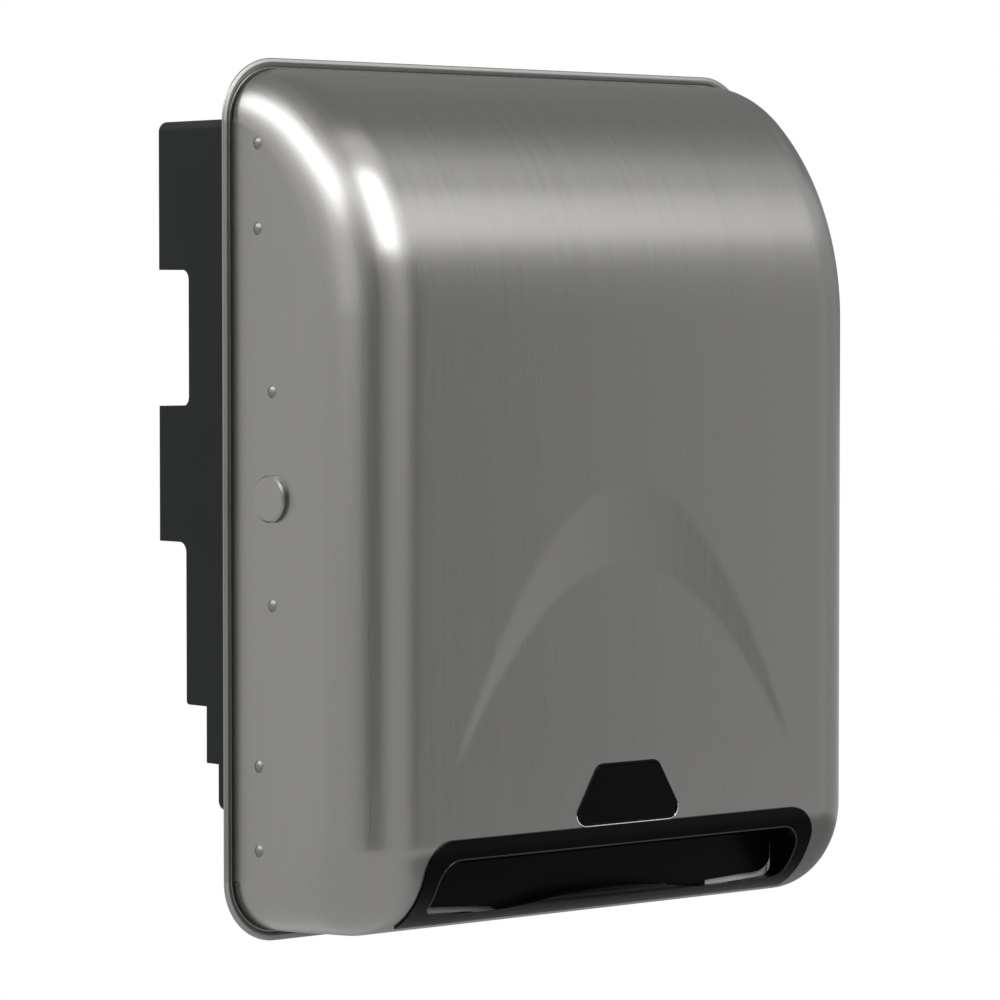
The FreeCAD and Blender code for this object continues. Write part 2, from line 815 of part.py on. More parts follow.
# Roll arms and hubs
arm_thick = 4.0
arm_x = roll_width / 2 + 3.0  # inner face of the arms
hub_bore = 6.0
hub_grip = 10.0
arm_tip = 15.0
pivot_x = -arm_x - 8.9
arm_screw_x = arm_x + 11.4
pivot_y = 62.0


def arm_outline(base_y, base_half):
    # tapers from its base to the round end that carries the hub
    tip = roll_y
    return [(tip, roll_z - arm_tip), (base_y, roll_z - base_half), (base_y, roll_z + base_half), (tip, roll_z + arm_tip)]


def arm_blade(x0, x1, base_y, base_half):
    blade = plate_yz(arm_outline(base_y, base_half), x0, x1)
    end = rod_x(arm_tip, x0, x1, roll_y, roll_z)
    return blade.fuse(end).removeSplitter()


def right_roll_arm():
    base_half = 20.0
    foot = 2.5
    blade = arm_blade(arm_x, arm_x + arm_thick, pocket_face, base_half)
    base = box(arm_x, tub_inner - loose, pocket_face - foot, pocket_face, roll_z - base_half, roll_z + base_half)
    brace = plate_xy([(arm_x + arm_thick, pocket_face - foot), (tub_inner - 5.0, pocket_face - foot),
                      (arm_x + arm_thick, pocket_face - 26.0)], roll_z - rib / 2, roll_z + rib / 2)
    arm = fuse([blade, base, brace])
    arm = arm.cut(rod_x(hub_bore, arm_x - loose, arm_x + arm_thick + loose, roll_y, roll_z))
    for step in (-0.5, 0.5):
        arm = arm.cut(rod_y(rivet_shank, 0, pocket_face + loose, arm_screw_x, roll_z + step * 24.0))
    return arm


def arm_screws():
    screws = []
    for x in (-arm_screw_x, arm_screw_x):
        for step in (-0.5, 0.5):
            z = roll_z + step * (24.0 if x > 0 else 44.0)
            shank = rod_y(rivet_shank, pocket_face - 2.5, pocket_face, x, z)
            head = rod_y(rivet_radius, pocket_face - 4.3, pocket_face - 2.5, x, z)
            screws.append(fuse([shank, head]))
    return screws


knuckle_radius = 5.5
knuckle_half = 14.0


def left_roll_arm():
    # swings outwards on its pin so that a core can be fitted
    blade = arm_blade(-arm_x - arm_thick, -arm_x, pivot_y - 4.0, knuckle_half)
    knuckle = rod_z(knuckle_radius, roll_z - knuckle_half, roll_z + knuckle_half, pivot_x, pivot_y)
    web = box(pivot_x, -arm_x, pivot_y - knuckle_radius, pivot_y, roll_z - knuckle_half, roll_z + knuckle_half)
    arm = fuse([blade, web, knuckle])
    arm = arm.cut(rod_z(3.0 + running, 0, 2 * roll_z, pivot_x, pivot_y))
    middle = box(pivot_x - 9.0, pivot_x + 7.0, pivot_y - 7.6, pivot_y + 9.0, roll_z - 6.5, roll_z + 6.5)
    arm = arm.cut(middle)
    return arm.cut(rod_x(hub_bore, -arm_x - arm_thick - loose, -arm_x + loose, roll_y, roll_z))


def arm_bracket():
    foot = 2.5
    ear_half = knuckle_half + gap
    back = box(-tub_inner + loose, -pocket_x - 3.0, pocket_face - foot, pocket_face, roll_z - 28.0, roll_z + 28.0)
    parts = [back]
    for low in (roll_z + ear_half, roll_z - ear_half - 3.0):
        arm = box(pivot_x - 6.0, pivot_x + 6.0, pivot_y, pocket_face - foot, low, low + 3.0)
        eye = rod_z(6.0, low, low + 3.0, pivot_x, pivot_y)
        parts += [arm, eye]
    bracket = fuse(parts)
    bracket = bracket.cut(rod_z(3.0, 0, 2 * roll_z, pivot_x, pivot_y))
    for step in (-0.5, 0.5):
        bracket = bracket.cut(rod_y(rivet_shank, 0, pocket_face + loose, -arm_screw_x, roll_z + step * 44.0))
    return bracket


def arm_pin():
    low = roll_z - knuckle_half - gap - 4.0
    high = roll_z + knuckle_half + gap + 3.0
    pin = rod_z(3.0, low, high, pivot_x, pivot_y)
    return fuse([pin, rod_z(4.2, high, high + 1.5, pivot_x, pivot_y)])


def hub(side):
    # core plug with a flange, turning in the arm's bore
    face = arm_x - gap
    profile = [
        (face - 2.0, 0), (face - 2.0 - hub_grip, 0), (face - 2.0 - hub_grip, core_radius - 3.0),
        (face - 0.4 - hub_grip, core_radius - 0.6), (face - 2.0, core_radius), (face - 2.0, 23.0), (face, 23.0),
        (face, 9.0), (face, hub_bore - running), (arm_x + arm_thick + gap, hub_bore - running),
        (arm_x + arm_thick + gap, hub_bore + 1.5), (arm_x + arm_thick + 1.8, hub_bore + 1.5),
        (arm_x + arm_thick + 1.8, 0),
    ]
    face_shape = face_of([V(x, 0, r) for x, r in profile])
    shape = face_shape.revolve(V(0, 0, 0), V(1, 0, 0), 360)
    shape = shape.cut(rod_x(core_radius - 5.0, face - 3.0 - hub_grip, face - 4.0, 0, 0))
    shape.translate(V(0, roll_y, roll_z))
    for i in range(3):
        angle = math.radians(90 + 120 * i)
        fin = box(face - 2.0 - hub_grip, face - 4.0, -rib / 2, rib / 2, 0, core_radius - 4.0)
        fin.rotate(V(0, 0, 0), V(1, 0, 0), math.degrees(angle))
        fin.translate(V(0, roll_y, roll_z))
        shape = shape.fuse(fin)
    shape = shape.removeSplitter()
    return shape if side > 0 else mirrored(shape)


# Gears
def gear_outline(module, teeth, phase):
    # involute flanks in three points; the first tooth is centred on phase
    pitch = module * teeth / 2
    base = pitch * math.cos(math.radians(20))
    outer = pitch + module
    root = pitch - 1.25 * module
    involute = math.tan(math.radians(20)) - math.radians(20)
    half_tooth = math.pi / (2 * teeth) - backlash / (2 * pitch)
    flank = []
    for share in (0.0, 0.5, 1.0):
        radius = max(root, base) + (outer - max(root, base)) * share
        lean = math.acos(min(1.0, base / radius))
        flank.append((radius, half_tooth + involute - (math.tan(lean) - lean)))
    points = []
    for tooth in range(teeth):
        centre = phase + 2 * math.pi * tooth / teeth
        side = [(root, flank[0][1] + 0.25 * half_tooth)] if base > root else []
        rising = [(r, centre - a) for r, a in side + flank]
        falling = [(r, centre + a) for r, a in reversed(side + flank)]
        points += rising + falling
    return [(r * math.cos(a), r * math.sin(a)) for r, a in points]


def gear(module, teeth, phase, x0, x1, y, z):
    points = [(y + a, z + b) for a, b in gear_outline(module, teeth, phase)]
    return plate_yz(points, x0, x1)


out_angle = math.radians(idler_angle)
in_angle = math.radians(motor_angle)


def drive_gear():
    # a tooth of the drive gear points at the idler
    wheel = gear(module_out, drive_teeth, out_angle, gear_x, gear_x + gear_width, drive_y, drive_z)
    return wheel.cut(rod_x(shaft_radius, gear_x - loose, gear_x + 2 * gear_width, drive_y, drive_z))


def idler_gear():
    # small wheel on the drive gear, big wheel on the pinion
    small_phase = out_angle + math.pi + math.pi / idler_small_teeth
    small = gear(module_out, idler_small_teeth, small_phase, gear_x, gear_x2, idler_y, idler_z)
    big = gear(module_in, idler_big_teeth, in_angle, gear_x2, gear_x2 + gear_width - gear_gap, idler_y, idler_z)
    wheel = small.fuse(big).removeSplitter()
    return wheel.cut(rod_x(idler_pin + running, gear_x - loose, gear_x2 + 2 * gear_width, idler_y, idler_z))


def motor_pinion():
    phase = in_angle + math.pi + math.pi / pinion_teeth
    wheel = gear(module_in, pinion_teeth, phase, gear_x2 - gear_gap, gear_x2 + gear_width - gear_gap, motor_y, motor_z)
    stem = rod_x(motor_shaft, frame_half - 6.0, gear_x2 + gear_width, motor_y, motor_z)
    return fuse([wheel, stem])


def idler_axle():
    end = gear_x2 + gear_width - gear_gap + gap
    pin = rod_x(idler_pin, frame_half - frame_plate, end, idler_y, idler_z)
    foot = rod_x(idler_pin + 2.0, frame_half, gear_x - gap, idler_y, idler_z)
    clip = rod_x(idler_pin + 1.5, end, end + 0.9, idler_y, idler_z)
    return fuse([pin, foot, clip])


# Frame
def frame_plate_solid(side):
    # side plate that carries the rollers; its sole is screwed to the back of the tub
    outline = [
        (toe_face - 2.0, tub_bottom + 5.5), (toe_face - 2.0, foot + 96.3), (30.0, foot + 104.3), (4.0, foot + 124.3),
        (-34.0, foot + 124.3),
        (-52.0, foot + 106.3), (-80.0, foot + 106.3), (-80.0, foot + 62.3), (-70.0, foot + 44.3),
        (-8.0, foot + 44.3), (-8.0, tub_bottom + 5.5),
    ]
    inner = frame_half - frame_plate
    plate_shape = plate_yz(outline, inner, frame_half)
    plate_shape = round_along(plate_shape, 4.0, V(1, 0, 0))
    sole = box(inner, frame_half + 9.0, toe_face - 2.0, toe_face, tub_bottom + 5.5, tub_bottom + 20.5)
    plate_shape = fuse([plate_shape, sole])
    cuts = [
        rod_x(shaft_radius + bush_wall, 0, tub_half, drive_y, drive_z),
        rod_x(pinch_shaft + 2.0, 0, tub_half, pinch_y, pinch_z),
        rod_y(rivet_shank, 0, tub_depth, frame_half + 5.0, tub_bottom + 13.0),
    ]
    if side > 0:
        cuts.append(rod_x(idler_pin, 0, tub_half, idler_y, idler_z))
        cuts.append(rod_x(5.0, 0, tub_half, motor_y, motor_z))
    for cut in cuts:
        plate_shape = plate_shape.cut(cut)
    return plate_shape if side > 0 else mirrored(plate_shape)


def foot_screws():
    screws = []
    for side in (-1, 1):
        x = side * (frame_half + 5.0)
        z = tub_bottom + 13.0
        shank = rod_y(rivet_shank, toe_face - 2.0, toe_face, x, z)
        head = rod_y(rivet_radius, toe_face - 3.8, toe_face - 2.0, x, z)
        screws.append(fuse([shank, head]))
    return screws


def rear_channel():
    half = frame_half - frame_plate
    low = foot + 68.3
    web = box(-half, half, 10.0, 34.0, low, low + 1.5)
    front = box(-half, half, 10.0, 11.5, low, low + 14.0)
    back = box(-half, half, 32.5, 34.0, low, low + 14.0)
    return fuse([web, front, back])


def bushes():
    # moulded bushes, flanged outside the plates
    shapes = []
    for side in (-1, 1):
        inner = side * (frame_half - frame_plate)
        outer = side * frame_half
        edge = side * (frame_half + 1.0)
        for radius, wall, y, z in ((shaft_radius, bush_wall, drive_y, drive_z), (pinch_shaft, 2.0, pinch_y, pinch_z)):
            barrel = rod_x(radius + wall, inner, outer, y, z)
            rim = rod_x(radius + wall + 1.5, outer, edge, y, z)
            bush = barrel.fuse(rim).removeSplitter()
            shapes.append(bush.cut(rod_x(radius + running, inner - side, edge + side, y, z)))
    return shapes


def drive_shaft():
    return rod_x(shaft_radius, -gear_x - 8.0, gear_x + gear_width + 1.5, drive_y, drive_z)


def drive_sleeves():
    # rubber tyres on one shaft
    half = sleeve_length / 2
    return [tube_x(drive_radius, shaft_radius, x - half, x + half, drive_y, drive_z) for x in sleeve_places]


def pinch_shaft_solid():
    return rod_x(pinch_shaft, -frame_half - 2.0, frame_half + 2.0, pinch_y, pinch_z)


def pinch_rollers():
    half = pinch_length / 2
    return [tube_x(pinch_radius, pinch_shaft, x - half, x + half, pinch_y, pinch_z) for x in sleeve_places]


def hand_wheel():
    # knurled wheel on the left end of the drive shaft, for threading by hand
    count = 24
    points = []
    for i in range(2 * count):
        angle = math.pi * i / count
        radius = wheel_radius - (1.2 if i % 2 else 0)
        points.append((drive_y + radius * math.cos(angle), drive_z + radius * math.sin(angle)))
    wheel = plate_yz(points, -gear_x - 8.0, -gear_x)
    return wheel.cut(rod_x(shaft_radius, -gear_x - 9.0, 0, drive_y, drive_z))


def motor():
    # can motor on the inside of the right plate
    front = frame_half - frame_plate
    can = rod_x(motor_radius, front - motor_length, front, motor_y, motor_z)
    flats = []
    for side in (-1, 1):
        y0 = motor_y + side * (motor_radius - 1.6)
        y1 = motor_y + side * 2 * motor_radius
        flats.append(box(front - motor_length - loose, front + loose, min(y0, y1), max(y0, y1),
                         motor_z - 2 * motor_radius, motor_z + 2 * motor_radius))
    can = can.cut(flats[0]).cut(flats[1])
    boss = rod_x(4.8, front, frame_half, motor_y, motor_z)
    cap = rod_x(5.0, front - motor_length - 2.0, front - motor_length, motor_y, motor_z)
    body = fuse([can, boss, cap])
    return body.cut(rod_x(motor_shaft + 0.2, frame_half - 7.0, frame_half + loose, motor_y, motor_z))


# Paper path
under_guide = guide_low - loose
light_gaps = [
    # cut-outs in the guide's lower edge, in which the steel strip behind it shows
    [(71.9, foot + 18.2), (89.0, foot + 19.0), (104.0, foot + 19.6), (108.5, foot + 20.0), (112.3, foot + 21.5), (114.9, foot + 23.7),
     (116.2, foot + 26.3), (guide_half + loose, foot + 26.3), (guide_half + loose, under_guide), (71.9, under_guide)],
    [(31.0, foot + 20.1), (47.9, foot + 18.8), (47.9, under_guide), (31.0, under_guide)],
    [(-guide_half - loose, foot + 20.7), (-107.9, foot + 20.2), (-64.8, foot + 17.2), (-62.0, under_guide),
     (-guide_half - loose, under_guide)],
]


def paper_guide():
    # the dark wall seen in the mouth; towels slide down its front
    top = foot + 68.3
    bend = foot + 44.3
    path = [(-62.5, top), (-77.0, bend), (guide_front, bend - 5.0), (guide_front, guide_low),
            (guide_front + guide_wall, guide_low), (guide_front + guide_wall, bend - 4.4), (-75.1, bend + 0.8),
            (-61.0, top + 1.2)]
    wall = plate_yz(path, -guide_half, guide_half)
    inner = frame_half - frame_plate - gap
    for side in (-1, 1):
        near = side * inner
        far = side * (guide_half + loose)
        wall = wall.cut(box(min(near, far), max(near, far), guide_front + guide_wall, -50.0, bend - 4.0, top + 2.0))
        wall = wall.cut(box(min(near, far), max(near, far), guide_front - loose, -50.0, bend - 1.0, top + 2.0))
    for points in light_gaps:
        wall = wall.cut(plate_xz(points, guide_front - loose, guide_front + 2 * guide_wall))
    parts = [wall]
    for side in (-1, 1):
        near = side * (inner - 2.0)
        far = side * inner
        parts.append(plate_yz([(-62.5, top), (-75.5, bend + 2.5), (-52.0, bend + 2.5), (-52.0, top)],
                              min(near, far), max(near, far)))
    for x in (-70.0, -28.0, 28.0, 70.0):
        parts.append(plate_yz([(-61.2, top), (-76.8, bend - 2.0), (-76.8, bend - 6.0), (-66.0, bend), (-58.0, top)],
                              x - rib / 2, x + rib / 2))
    guide = fuse(parts)
    back = guide_front + guide_wall
    for x in blade_screw_x:
        guide = guide.cut(rod_y(blade_screw_radius, back - blade_screw_grip, back + loose, x, blade_screw_z))
    return guide


def tear_bar():
    # toothed steel strip behind the guide's lower edge
    back = guide_front + guide_wall
    half = guide_half + 0.5
    strip = box(-half, half, back, back + blade, blade_low, blade_end)
    count = int(2 * half / blade_pitch)
    points = [(-half, blade_low - loose)]
    for i in range(count):
        x = -half + i * blade_pitch
        points += [(x, blade_low), (x + blade_pitch / 2, blade_low + blade_tooth)]
    last = -half + count * blade_pitch
    points += [(last, blade_low), (last, blade_low - loose)]
    teeth = plate_xz(points, back - loose, back + blade + loose)
    strip = strip.cut(teeth)
    for x in blade_screw_x:
        strip = strip.cut(rod_y(blade_screw_radius, back - loose, back + 2 * blade, x, blade_screw_z))
    return strip


def blade_screws():
    front = guide_front + guide_wall - blade_screw_grip
    back = guide_front + guide_wall + blade
    return [fuse([rod_y(blade_screw_radius, front, back, x, blade_screw_z),
                  rod_y(2.8, back, back + 1.6, x, blade_screw_z)]) for x in blade_screw_x]


beam_low = foot + 90.3
beam_high = foot + 102.3


def front_beam():
    # ties the plates in front of the rollers and carries the sensor
    inner = frame_half - frame_plate
    beam = box(-inner, inner, -86.0, -80.5, beam_low, beam_high)
    hollow = box(-inner + 3.0, inner - 3.0, -84.2, -79.0, beam_low + 1.8, beam_high - 1.8)
    beam = beam.cut(hollow)
    hood = box(-30.0, 30.0, -93.0, -86.0, foot + 58.3, beam_high)
    hood = round_along(hood, 3.0, V(0, 1, 0))
    space = box(-27.5, 27.5, -94.0, -88.0, foot + 60.8, beam_high - 6.0)
    stays = [box(side * inner - 1.5, side * inner + 1.5, -82.0, -80.5, beam_low, beam_high) for side in (-0.98, 0.98)]
    points = sensor_lead_points()
    holder = fuse([beam, hood.cut(space)] + stays)
    return holder.cut(lead_hole(points[0], points[1], sensor_lead_radius))


def sensor_board():
    pcb = box(-25.0, 25.0, -89.8, -88.2, foot + 63.3, foot + 94.3)
    chip = box(-8.0, 8.0, -91.0, -89.8, foot + 82.3, foot + 90.3)
    return pcb.fuse(chip).removeSplitter()


def sensor_eyes():
    # emitter, receiver and lamp that look out of the window
    eyes = []
    for x in (-12.0, 0.0, 12.0):
        stem = rod_y(2.5, -96.5, -89.8, x, foot + 70.3)
        eyes.append(stem.makeChamfer(1.0, [e for e in stem.Edges if e.BoundBox.YMax < -96.0]))
    return eyes


# Batteries and controls
box_inner_length = 2 * cell_length + 6.0
box_right = box_left + box_inner_length + 2 * box_wall
box_top = box_bottom + 4 * cell_radius + 2 * box_wall + 1.0
box_back = shelf_face - gap
box_front = box_back - 2 * cell_radius - box_wall - 1.0


def cell_rows():
    first = box_bottom + box_wall + cell_radius + 0.4
    return [first, first + 2 * cell_radius + 0.4]


def battery_box():
    tray = box(box_left, box_right, box_front, box_back, box_bottom, box_top)
    tray = round_along(tray, 2.0, V(0, 1, 0))
    hollow = box(box_left + box_wall, box_right - box_wall, box_front - loose, box_back - box_wall,
                 box_bottom + box_wall, box_top - box_wall)
    tray = tray.cut(hollow)
    middle = cell_rows()[0] + cell_radius + 0.2
    for x in (box_left + 32.0, box_right - 32.0):
        web = box(x - 1.0, x + 1.0, box_back - 12.0, box_back - box_wall, box_bottom + box_wall, box_top - box_wall)
        for z in cell_rows():
            web = web.cut(rod_x(cell_radius + 0.4, box_left, box_right, box_back - box_wall - cell_radius - 0.3, z))
        tray = tray.fuse(web)
    lugs = []
    for x in (box_left + 12.0, box_right - 12.0):
        lugs.append(box(x - 4.0, x + 4.0, box_front, box_front + 6.0, box_top - loose / 2, box_top + 5.0))
    tray = fuse([tray] + lugs)
    for x in (box_left + 12.0, box_right - 12.0):
        tray = tray.cut(rod_x(1.5 + running, x - 5.0, x + 5.0, box_front + 3.0, box_top + 2.5))
    return tray


def battery_cells():
    cells = []
    centre_y = box_back - box_wall - cell_radius - 0.3
    start = box_left + box_wall + 2.5
    for row, z in enumerate(cell_rows()):
        for column in range(2):
            x = start + column * (cell_length + 0.6)
            can = rod_x(cell_radius, x, x + cell_length - 2.0, centre_y, z)
            nub_x = x + cell_length - 2.0
            cap = rod_x(4.8, nub_x, nub_x + 2.0, centre_y, z)
            cell = fuse([can, cap])
            if row == 1:
                cell.rotate(V(x + cell_length / 2, centre_y, z), V(0, 0, 1), 180)
            cells.append(cell)
    return cells


def battery_contacts():
    shapes = []
    centre_y = box_back - box_wall - cell_radius - 0.3
    low, high = cell_rows()
    left = box_left + box_wall
    right = box_right - box_wall
    shapes.append(box(left, left + 0.5, centre_y - 6.0, centre_y + 6.0, low - 7.0, high + 7.0))
    for z in (low, high):
        shapes.append(box(right - 0.5, right, centre_y - 6.0, centre_y + 6.0, z - 7.0, z + 7.0))
    return shapes


door_y = box_front - gap
door_z = box_top + 2.5
door_thick = 2.0


def battery_door():
    # lifts forwards on two stub pins at its top edge
    panel = box(box_left + gap, box_right - gap, door_y - door_thick, door_y, box_bottom, door_z - 2.0)
    panel = round_along(panel, 2.0, V(0, 1, 0))
    grooves = [box(box_left + 40.0, box_right - 40.0, door_y - door_thick - loose, door_y - door_thick + 0.7,
                   box_bottom + 6.0 + 3.5 * i, box_bottom + 7.5 + 3.5 * i) for i in range(4)]
    for groove in grooves:
        panel = panel.cut(groove)
    parts = [panel]
    for x, side in ((box_left + 12.0, 1), (box_right - 12.0, -1)):
        near = x + side * 5.0
        far = x + side * 9.0
        parts.append(rod_x(2.4, near, far, box_front + 3.0, door_z))
        parts.append(box(min(near, far), max(near, far), door_y - door_thick, box_front + 3.0, door_z - 1.2,
                         door_z + 1.2))
        pin_end = x - side * 3.0
        parts.append(rod_x(1.5, near, pin_end, box_front + 3.0, door_z))
        parts.append(box(min(near, far), max(near, far), door_y - door_thick, door_y, door_z - 4.0, door_z))
    return fuse(parts)


panel_left = box_right + panel_gap
panel_right = tub_inner - panel_side
panel_bottom = box_bottom
panel_top = box_top
panel_front = 52.0
panel_wall = 1.8
knob_heights = [box_bottom + 50.0, box_bottom + 34.0]
button_height = box_bottom + 16.0
panel_middle = (panel_left + panel_right) / 2


def control_cover():
    # moulded cap over the board, with slots for two switches and a button
    wall = panel_wall
    cap = box(panel_left, panel_right, panel_front, shelf_face - gap, panel_bottom, panel_top)
    cap = round_along(cap, 3.0, V(0, 1, 0))
    cap = cap.makeChamfer(1.0, [e for e in cap.Edges if e.BoundBox.YMax < panel_front + 0.5])
    hollow = box(panel_left + wall, panel_right - wall, panel_front + wall, shelf_face, panel_bottom + wall,
                 panel_top - wall)
    cap = cap.cut(hollow)
    for z in knob_heights:
        half = 3.0 + knob_travel + gap
        cap = cap.cut(box(panel_middle - half, panel_middle + half, panel_front - loose, panel_front + 2 * wall,
                          z - 2.3, z + 2.3))
    for points, radius in ((motor_lead_points(), motor_lead_radius), (sensor_lead_points(), sensor_lead_radius)):
        cap = cap.cut(lead_hole(points[-2], points[-1], radius))
    return cap.cut(rod_y(5.0 + gap, panel_front - loose, panel_front + 2 * wall, panel_middle, button_height))


board_y = 64.0


def control_board():
    pcb = box(panel_left + 4.0, panel_right - 4.0, board_y, board_y + board, panel_bottom + 4.0, panel_top - 4.0)
    parts = [pcb]
    for x in (panel_left + 7.0, panel_right - 7.0):
        for z in (panel_bottom + 7.0, panel_top - 7.0):
            parts.append(rod_y(2.5, board_y + board, shelf_face, x, z))
    parts.append(box(panel_left + 9.0, panel_left + 21.0, board_y - 2.0, board_y, panel_bottom + 20.0,
                     panel_bottom + 32.0))
    parts.append(rod_y(4.0, board_y - 8.0, board_y, panel_left + 13.0, panel_bottom + 52.0))
    for z in knob_heights:
        parts.append(box(panel_middle - 7.0, panel_middle + 7.0, board_y - 4.5, board_y, z - 3.2, z + 3.2))
    parts.append(box(panel_middle - 3.5, panel_middle + 3.5, board_y - 3.5, board_y, button_height - 3.5,
                     button_height + 3.5))
    return fuse(parts)


def switch_knob(z):
    # stands at the left end of its slot and slides to the right
    x = panel_middle - knob_travel
    base = board_y - 4.5 - gap
    stem = box(x - 3.0, x + 3.0, panel_front - 1.8, base, z - 2.0, z + 2.0)
    grip = [box(x - 2.3 + 1.6 * i, x - 1.7 + 1.6 * i, panel_front - 2.4, panel_front - 1.2, z - 2.5, z + 2.5)
            for i in range(4)]
    for cut in grip:
        stem = stem.cut(cut)
    back = panel_front + panel_wall + gap
    return fuse([stem, box(x - 4.5, x + 4.5, back, back + 1.2, z - 3.5, z + 3.5)])


def feed_button():
    base = board_y - 3.5 - gap - button_travel
    cap = rod_y(5.0, panel_front - 2.5, base, panel_middle, button_height)
    cap = cap.makeChamfer(0.8, [e for e in cap.Edges if e.BoundBox.YMax < panel_front])
    back = panel_front + panel_wall + gap
    return fuse([cap, rod_y(6.5, back, back + 1.2, panel_middle, button_height)])


# Leads, clipped along the frame
def octagon(radius, centre, way):
    # section of a wire, across the way that it runs
    along = V(way.x, way.y, way.z).normalize()
    first = along.cross(V(0, 0, 1) if abs(along.z) < 0.9 else V(1, 0, 0)).normalize() * radius
    second = along.cross(first)
    corners = [centre + first * math.cos(math.pi * i / 4) + second * math.sin(math.pi * i / 4) for i in range(9)]
    return Part.makePolygon(corners)


def lead(points, radius, bends):
    # straight runs joined by tangent arcs
    edges = []
    last = points[0]
    for i in range(1, len(points) - 1):
        before = points[i - 1].sub(points[i]).normalize()
        after = points[i + 1].sub(points[i]).normalize()
        turn = math.pi - before.getAngle(after)
        back = bends[i - 1] * math.tan(turn / 2)
        start = points[i] + before * back
        end = points[i] + after * back
        inward = (before + after).normalize()
        centre = points[i] + inward * (bends[i - 1] / math.cos(turn / 2))
        middle = centre - inward * bends[i - 1]
        edges += [Part.makeLine(last, start), Part.Arc(start, middle, end).toShape()]
        last = end
    edges.append(Part.makeLine(last, points[-1]))
    wire = Part.Wire(edges)
    tube = wire.makePipeShell([octagon(radius, points[0], points[1].sub(points[0]))], True, False)
    print("lead length", round(wire.Length, 1), "volume", round(tube.Volume, 1))
    return tube


motor_lead_radius = 1.3
sensor_lead_radius = 1.1
lead_x = frame_half - frame_plate - 6.0


def motor_lead_points():
    start = frame_half - frame_plate - motor_length - 2.0
    return [V(start, motor_y, motor_z), V(start - 14.0, motor_y, motor_z), V(start - 14.0, 26.0, motor_z),
            V(96.0, 46.0, motor_z - 4.0), V(96.0, 60.0, box_bottom + 4.0)]


def sensor_lead_points():
    return [V(18.0, -91.5, foot + 92.3), V(18.0, -91.5, foot + 112.3), V(lead_x, -88.0, foot + 114.3),
            V(lead_x, -56.0, foot + 128.3), V(lead_x, -10.0, foot + 132.3), V(lead_x, 36.0, foot + 128.3),
            V(lead_x, panel_front + 4.0, foot + 118.3)]


def motor_lead():
    return lead(motor_lead_points(), motor_lead_radius, [9.0, 11.0, 7.0])


def sensor_lead():
    return lead(sensor_lead_points(), sensor_lead_radius, [9.0, 12.0, 20.0, 30.0, 30.0])


def lead_hole(start, end, radius):
    # room for a lead where it passes through a wall
    way = end.sub(start).normalize()
    return rod(radius + gap, start - way * 2.0, end + way * 2.0)


# Torsion spring of the left arm
def arm_spring():
    # coils round the arm's pin; one end lies along the arm, the other meets the bracket
    wire = 0.6
    coil = 3.0 + gap + wire
    turns = 3
    pitch = 2 * wire + 0.7
    low = roll_z - turns * pitch / 2
    rise = pitch / (2 * math.pi * coil)

    def at(angle):
        return V(pivot_x + coil * math.cos(angle), pivot_y + coil * math.sin(angle), low + rise * coil * angle)

    quarter = math.pi / 2
    start = at(0)
    end = at(4 * turns * quarter)
    tail = V(0, 12.0, 12.0 * rise)
    reach = pocket_face - 2.5 - gap - pivot_y
    edges = [Part.makeLine(start - tail, start)]
    for i in range(4 * turns):
        edges.append(Part.Arc(at(i * quarter), at((i + 0.5) * quarter), at((i + 1) * quarter)).toShape())
    edges.append(Part.makeLine(end, end + V(0, reach, reach * rise)))
    path = Part.Wire(edges)
    spring = path.makePipeShell([octagon(wire, start - tail, tail)], True, False)
    print("spring gap to itself", round(pitch - 2 * wire, 2), "volume", round(spring.Volume, 1))
    return spring


def build():
    os.makedirs("parts", exist_ok=True)
    save("cover_shell", cover_shell())
    save("cover_rivets", *rivets())
    save("plug_button", plug_button())
    save("lock_plates", *lock_plates())
    save("hinge_leaves", *[cover_hinge_leaf(z) for z in hinge_heights])
    save("lock_body", lock_body())
    save("lock_nut", lock_nut())
    save("sensor_window", sensor_window())
    save("window_seal", window_seal())
    save("mouth_bezel", mouth_bezel())
    save("lock_core", lock_core())
    save("lock_cam", lock_cam())
    save("cam_screw", cam_screw())
    save("rear_housing", rear_housing())
    save("hinge_brackets", *[housing_hinge(z) for z in hinge_heights])
    save("hinge_pins", *[hinge_pin(z) for z in hinge_heights])
    save("lock_keeper", lock_keeper())
    save("bracket_screws", *(hinge_screws() + keeper_screws() + arm_screws() + foot_screws()))
    save("right_roll_arm", right_roll_arm())
    save("arm_bracket", arm_bracket())
    save("arm_pin", arm_pin())
    save("left_roll_arm", left_roll_arm())
    save("arm_spring", arm_spring())
    save("left_hub", hub(-1))
    save("right_hub", hub(1))
    save("left_frame_plate", frame_plate_solid(-1))
    save("right_frame_plate", frame_plate_solid(1))
    save("rear_channel", rear_channel())
    save("roller_bushes", *bushes())
    save("drive_shaft", drive_shaft())
    save("drive_sleeves", *drive_sleeves())
    save("drive_gear", drive_gear())
    save("hand_wheel", hand_wheel())
    save("pinch_shaft", pinch_shaft_solid())
    save("pinch_rollers", *pinch_rollers())
    save("idler_axle", idler_axle())
    save("idler_gear", idler_gear())
    save("motor", motor())
    save("motor_pinion", motor_pinion())
    save("paper_guide", paper_guide())
    save("tear_bar", tear_bar())
    save("blade_screws", *blade_screws())
    save("front_beam", front_beam())
    save("sensor_board", sensor_board())
    save("sensor_eyes", *sensor_eyes())
    save("battery_box", battery_box())
    save("battery_cells", *battery_cells())
    save("battery_contacts", *battery_contacts())
    save("battery_door", battery_door())
    save("control_board", control_board())
    save("control_cover", control_cover())
    save("length_switch_knob", switch_knob(knob_heights[0]))
    save("delay_switch_knob", switch_knob(knob_heights[1]))
    save("feed_button", feed_button())
    save("motor_lead", motor_lead())
    save("sensor_lead", sensor_lead())


build()
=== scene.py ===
import math

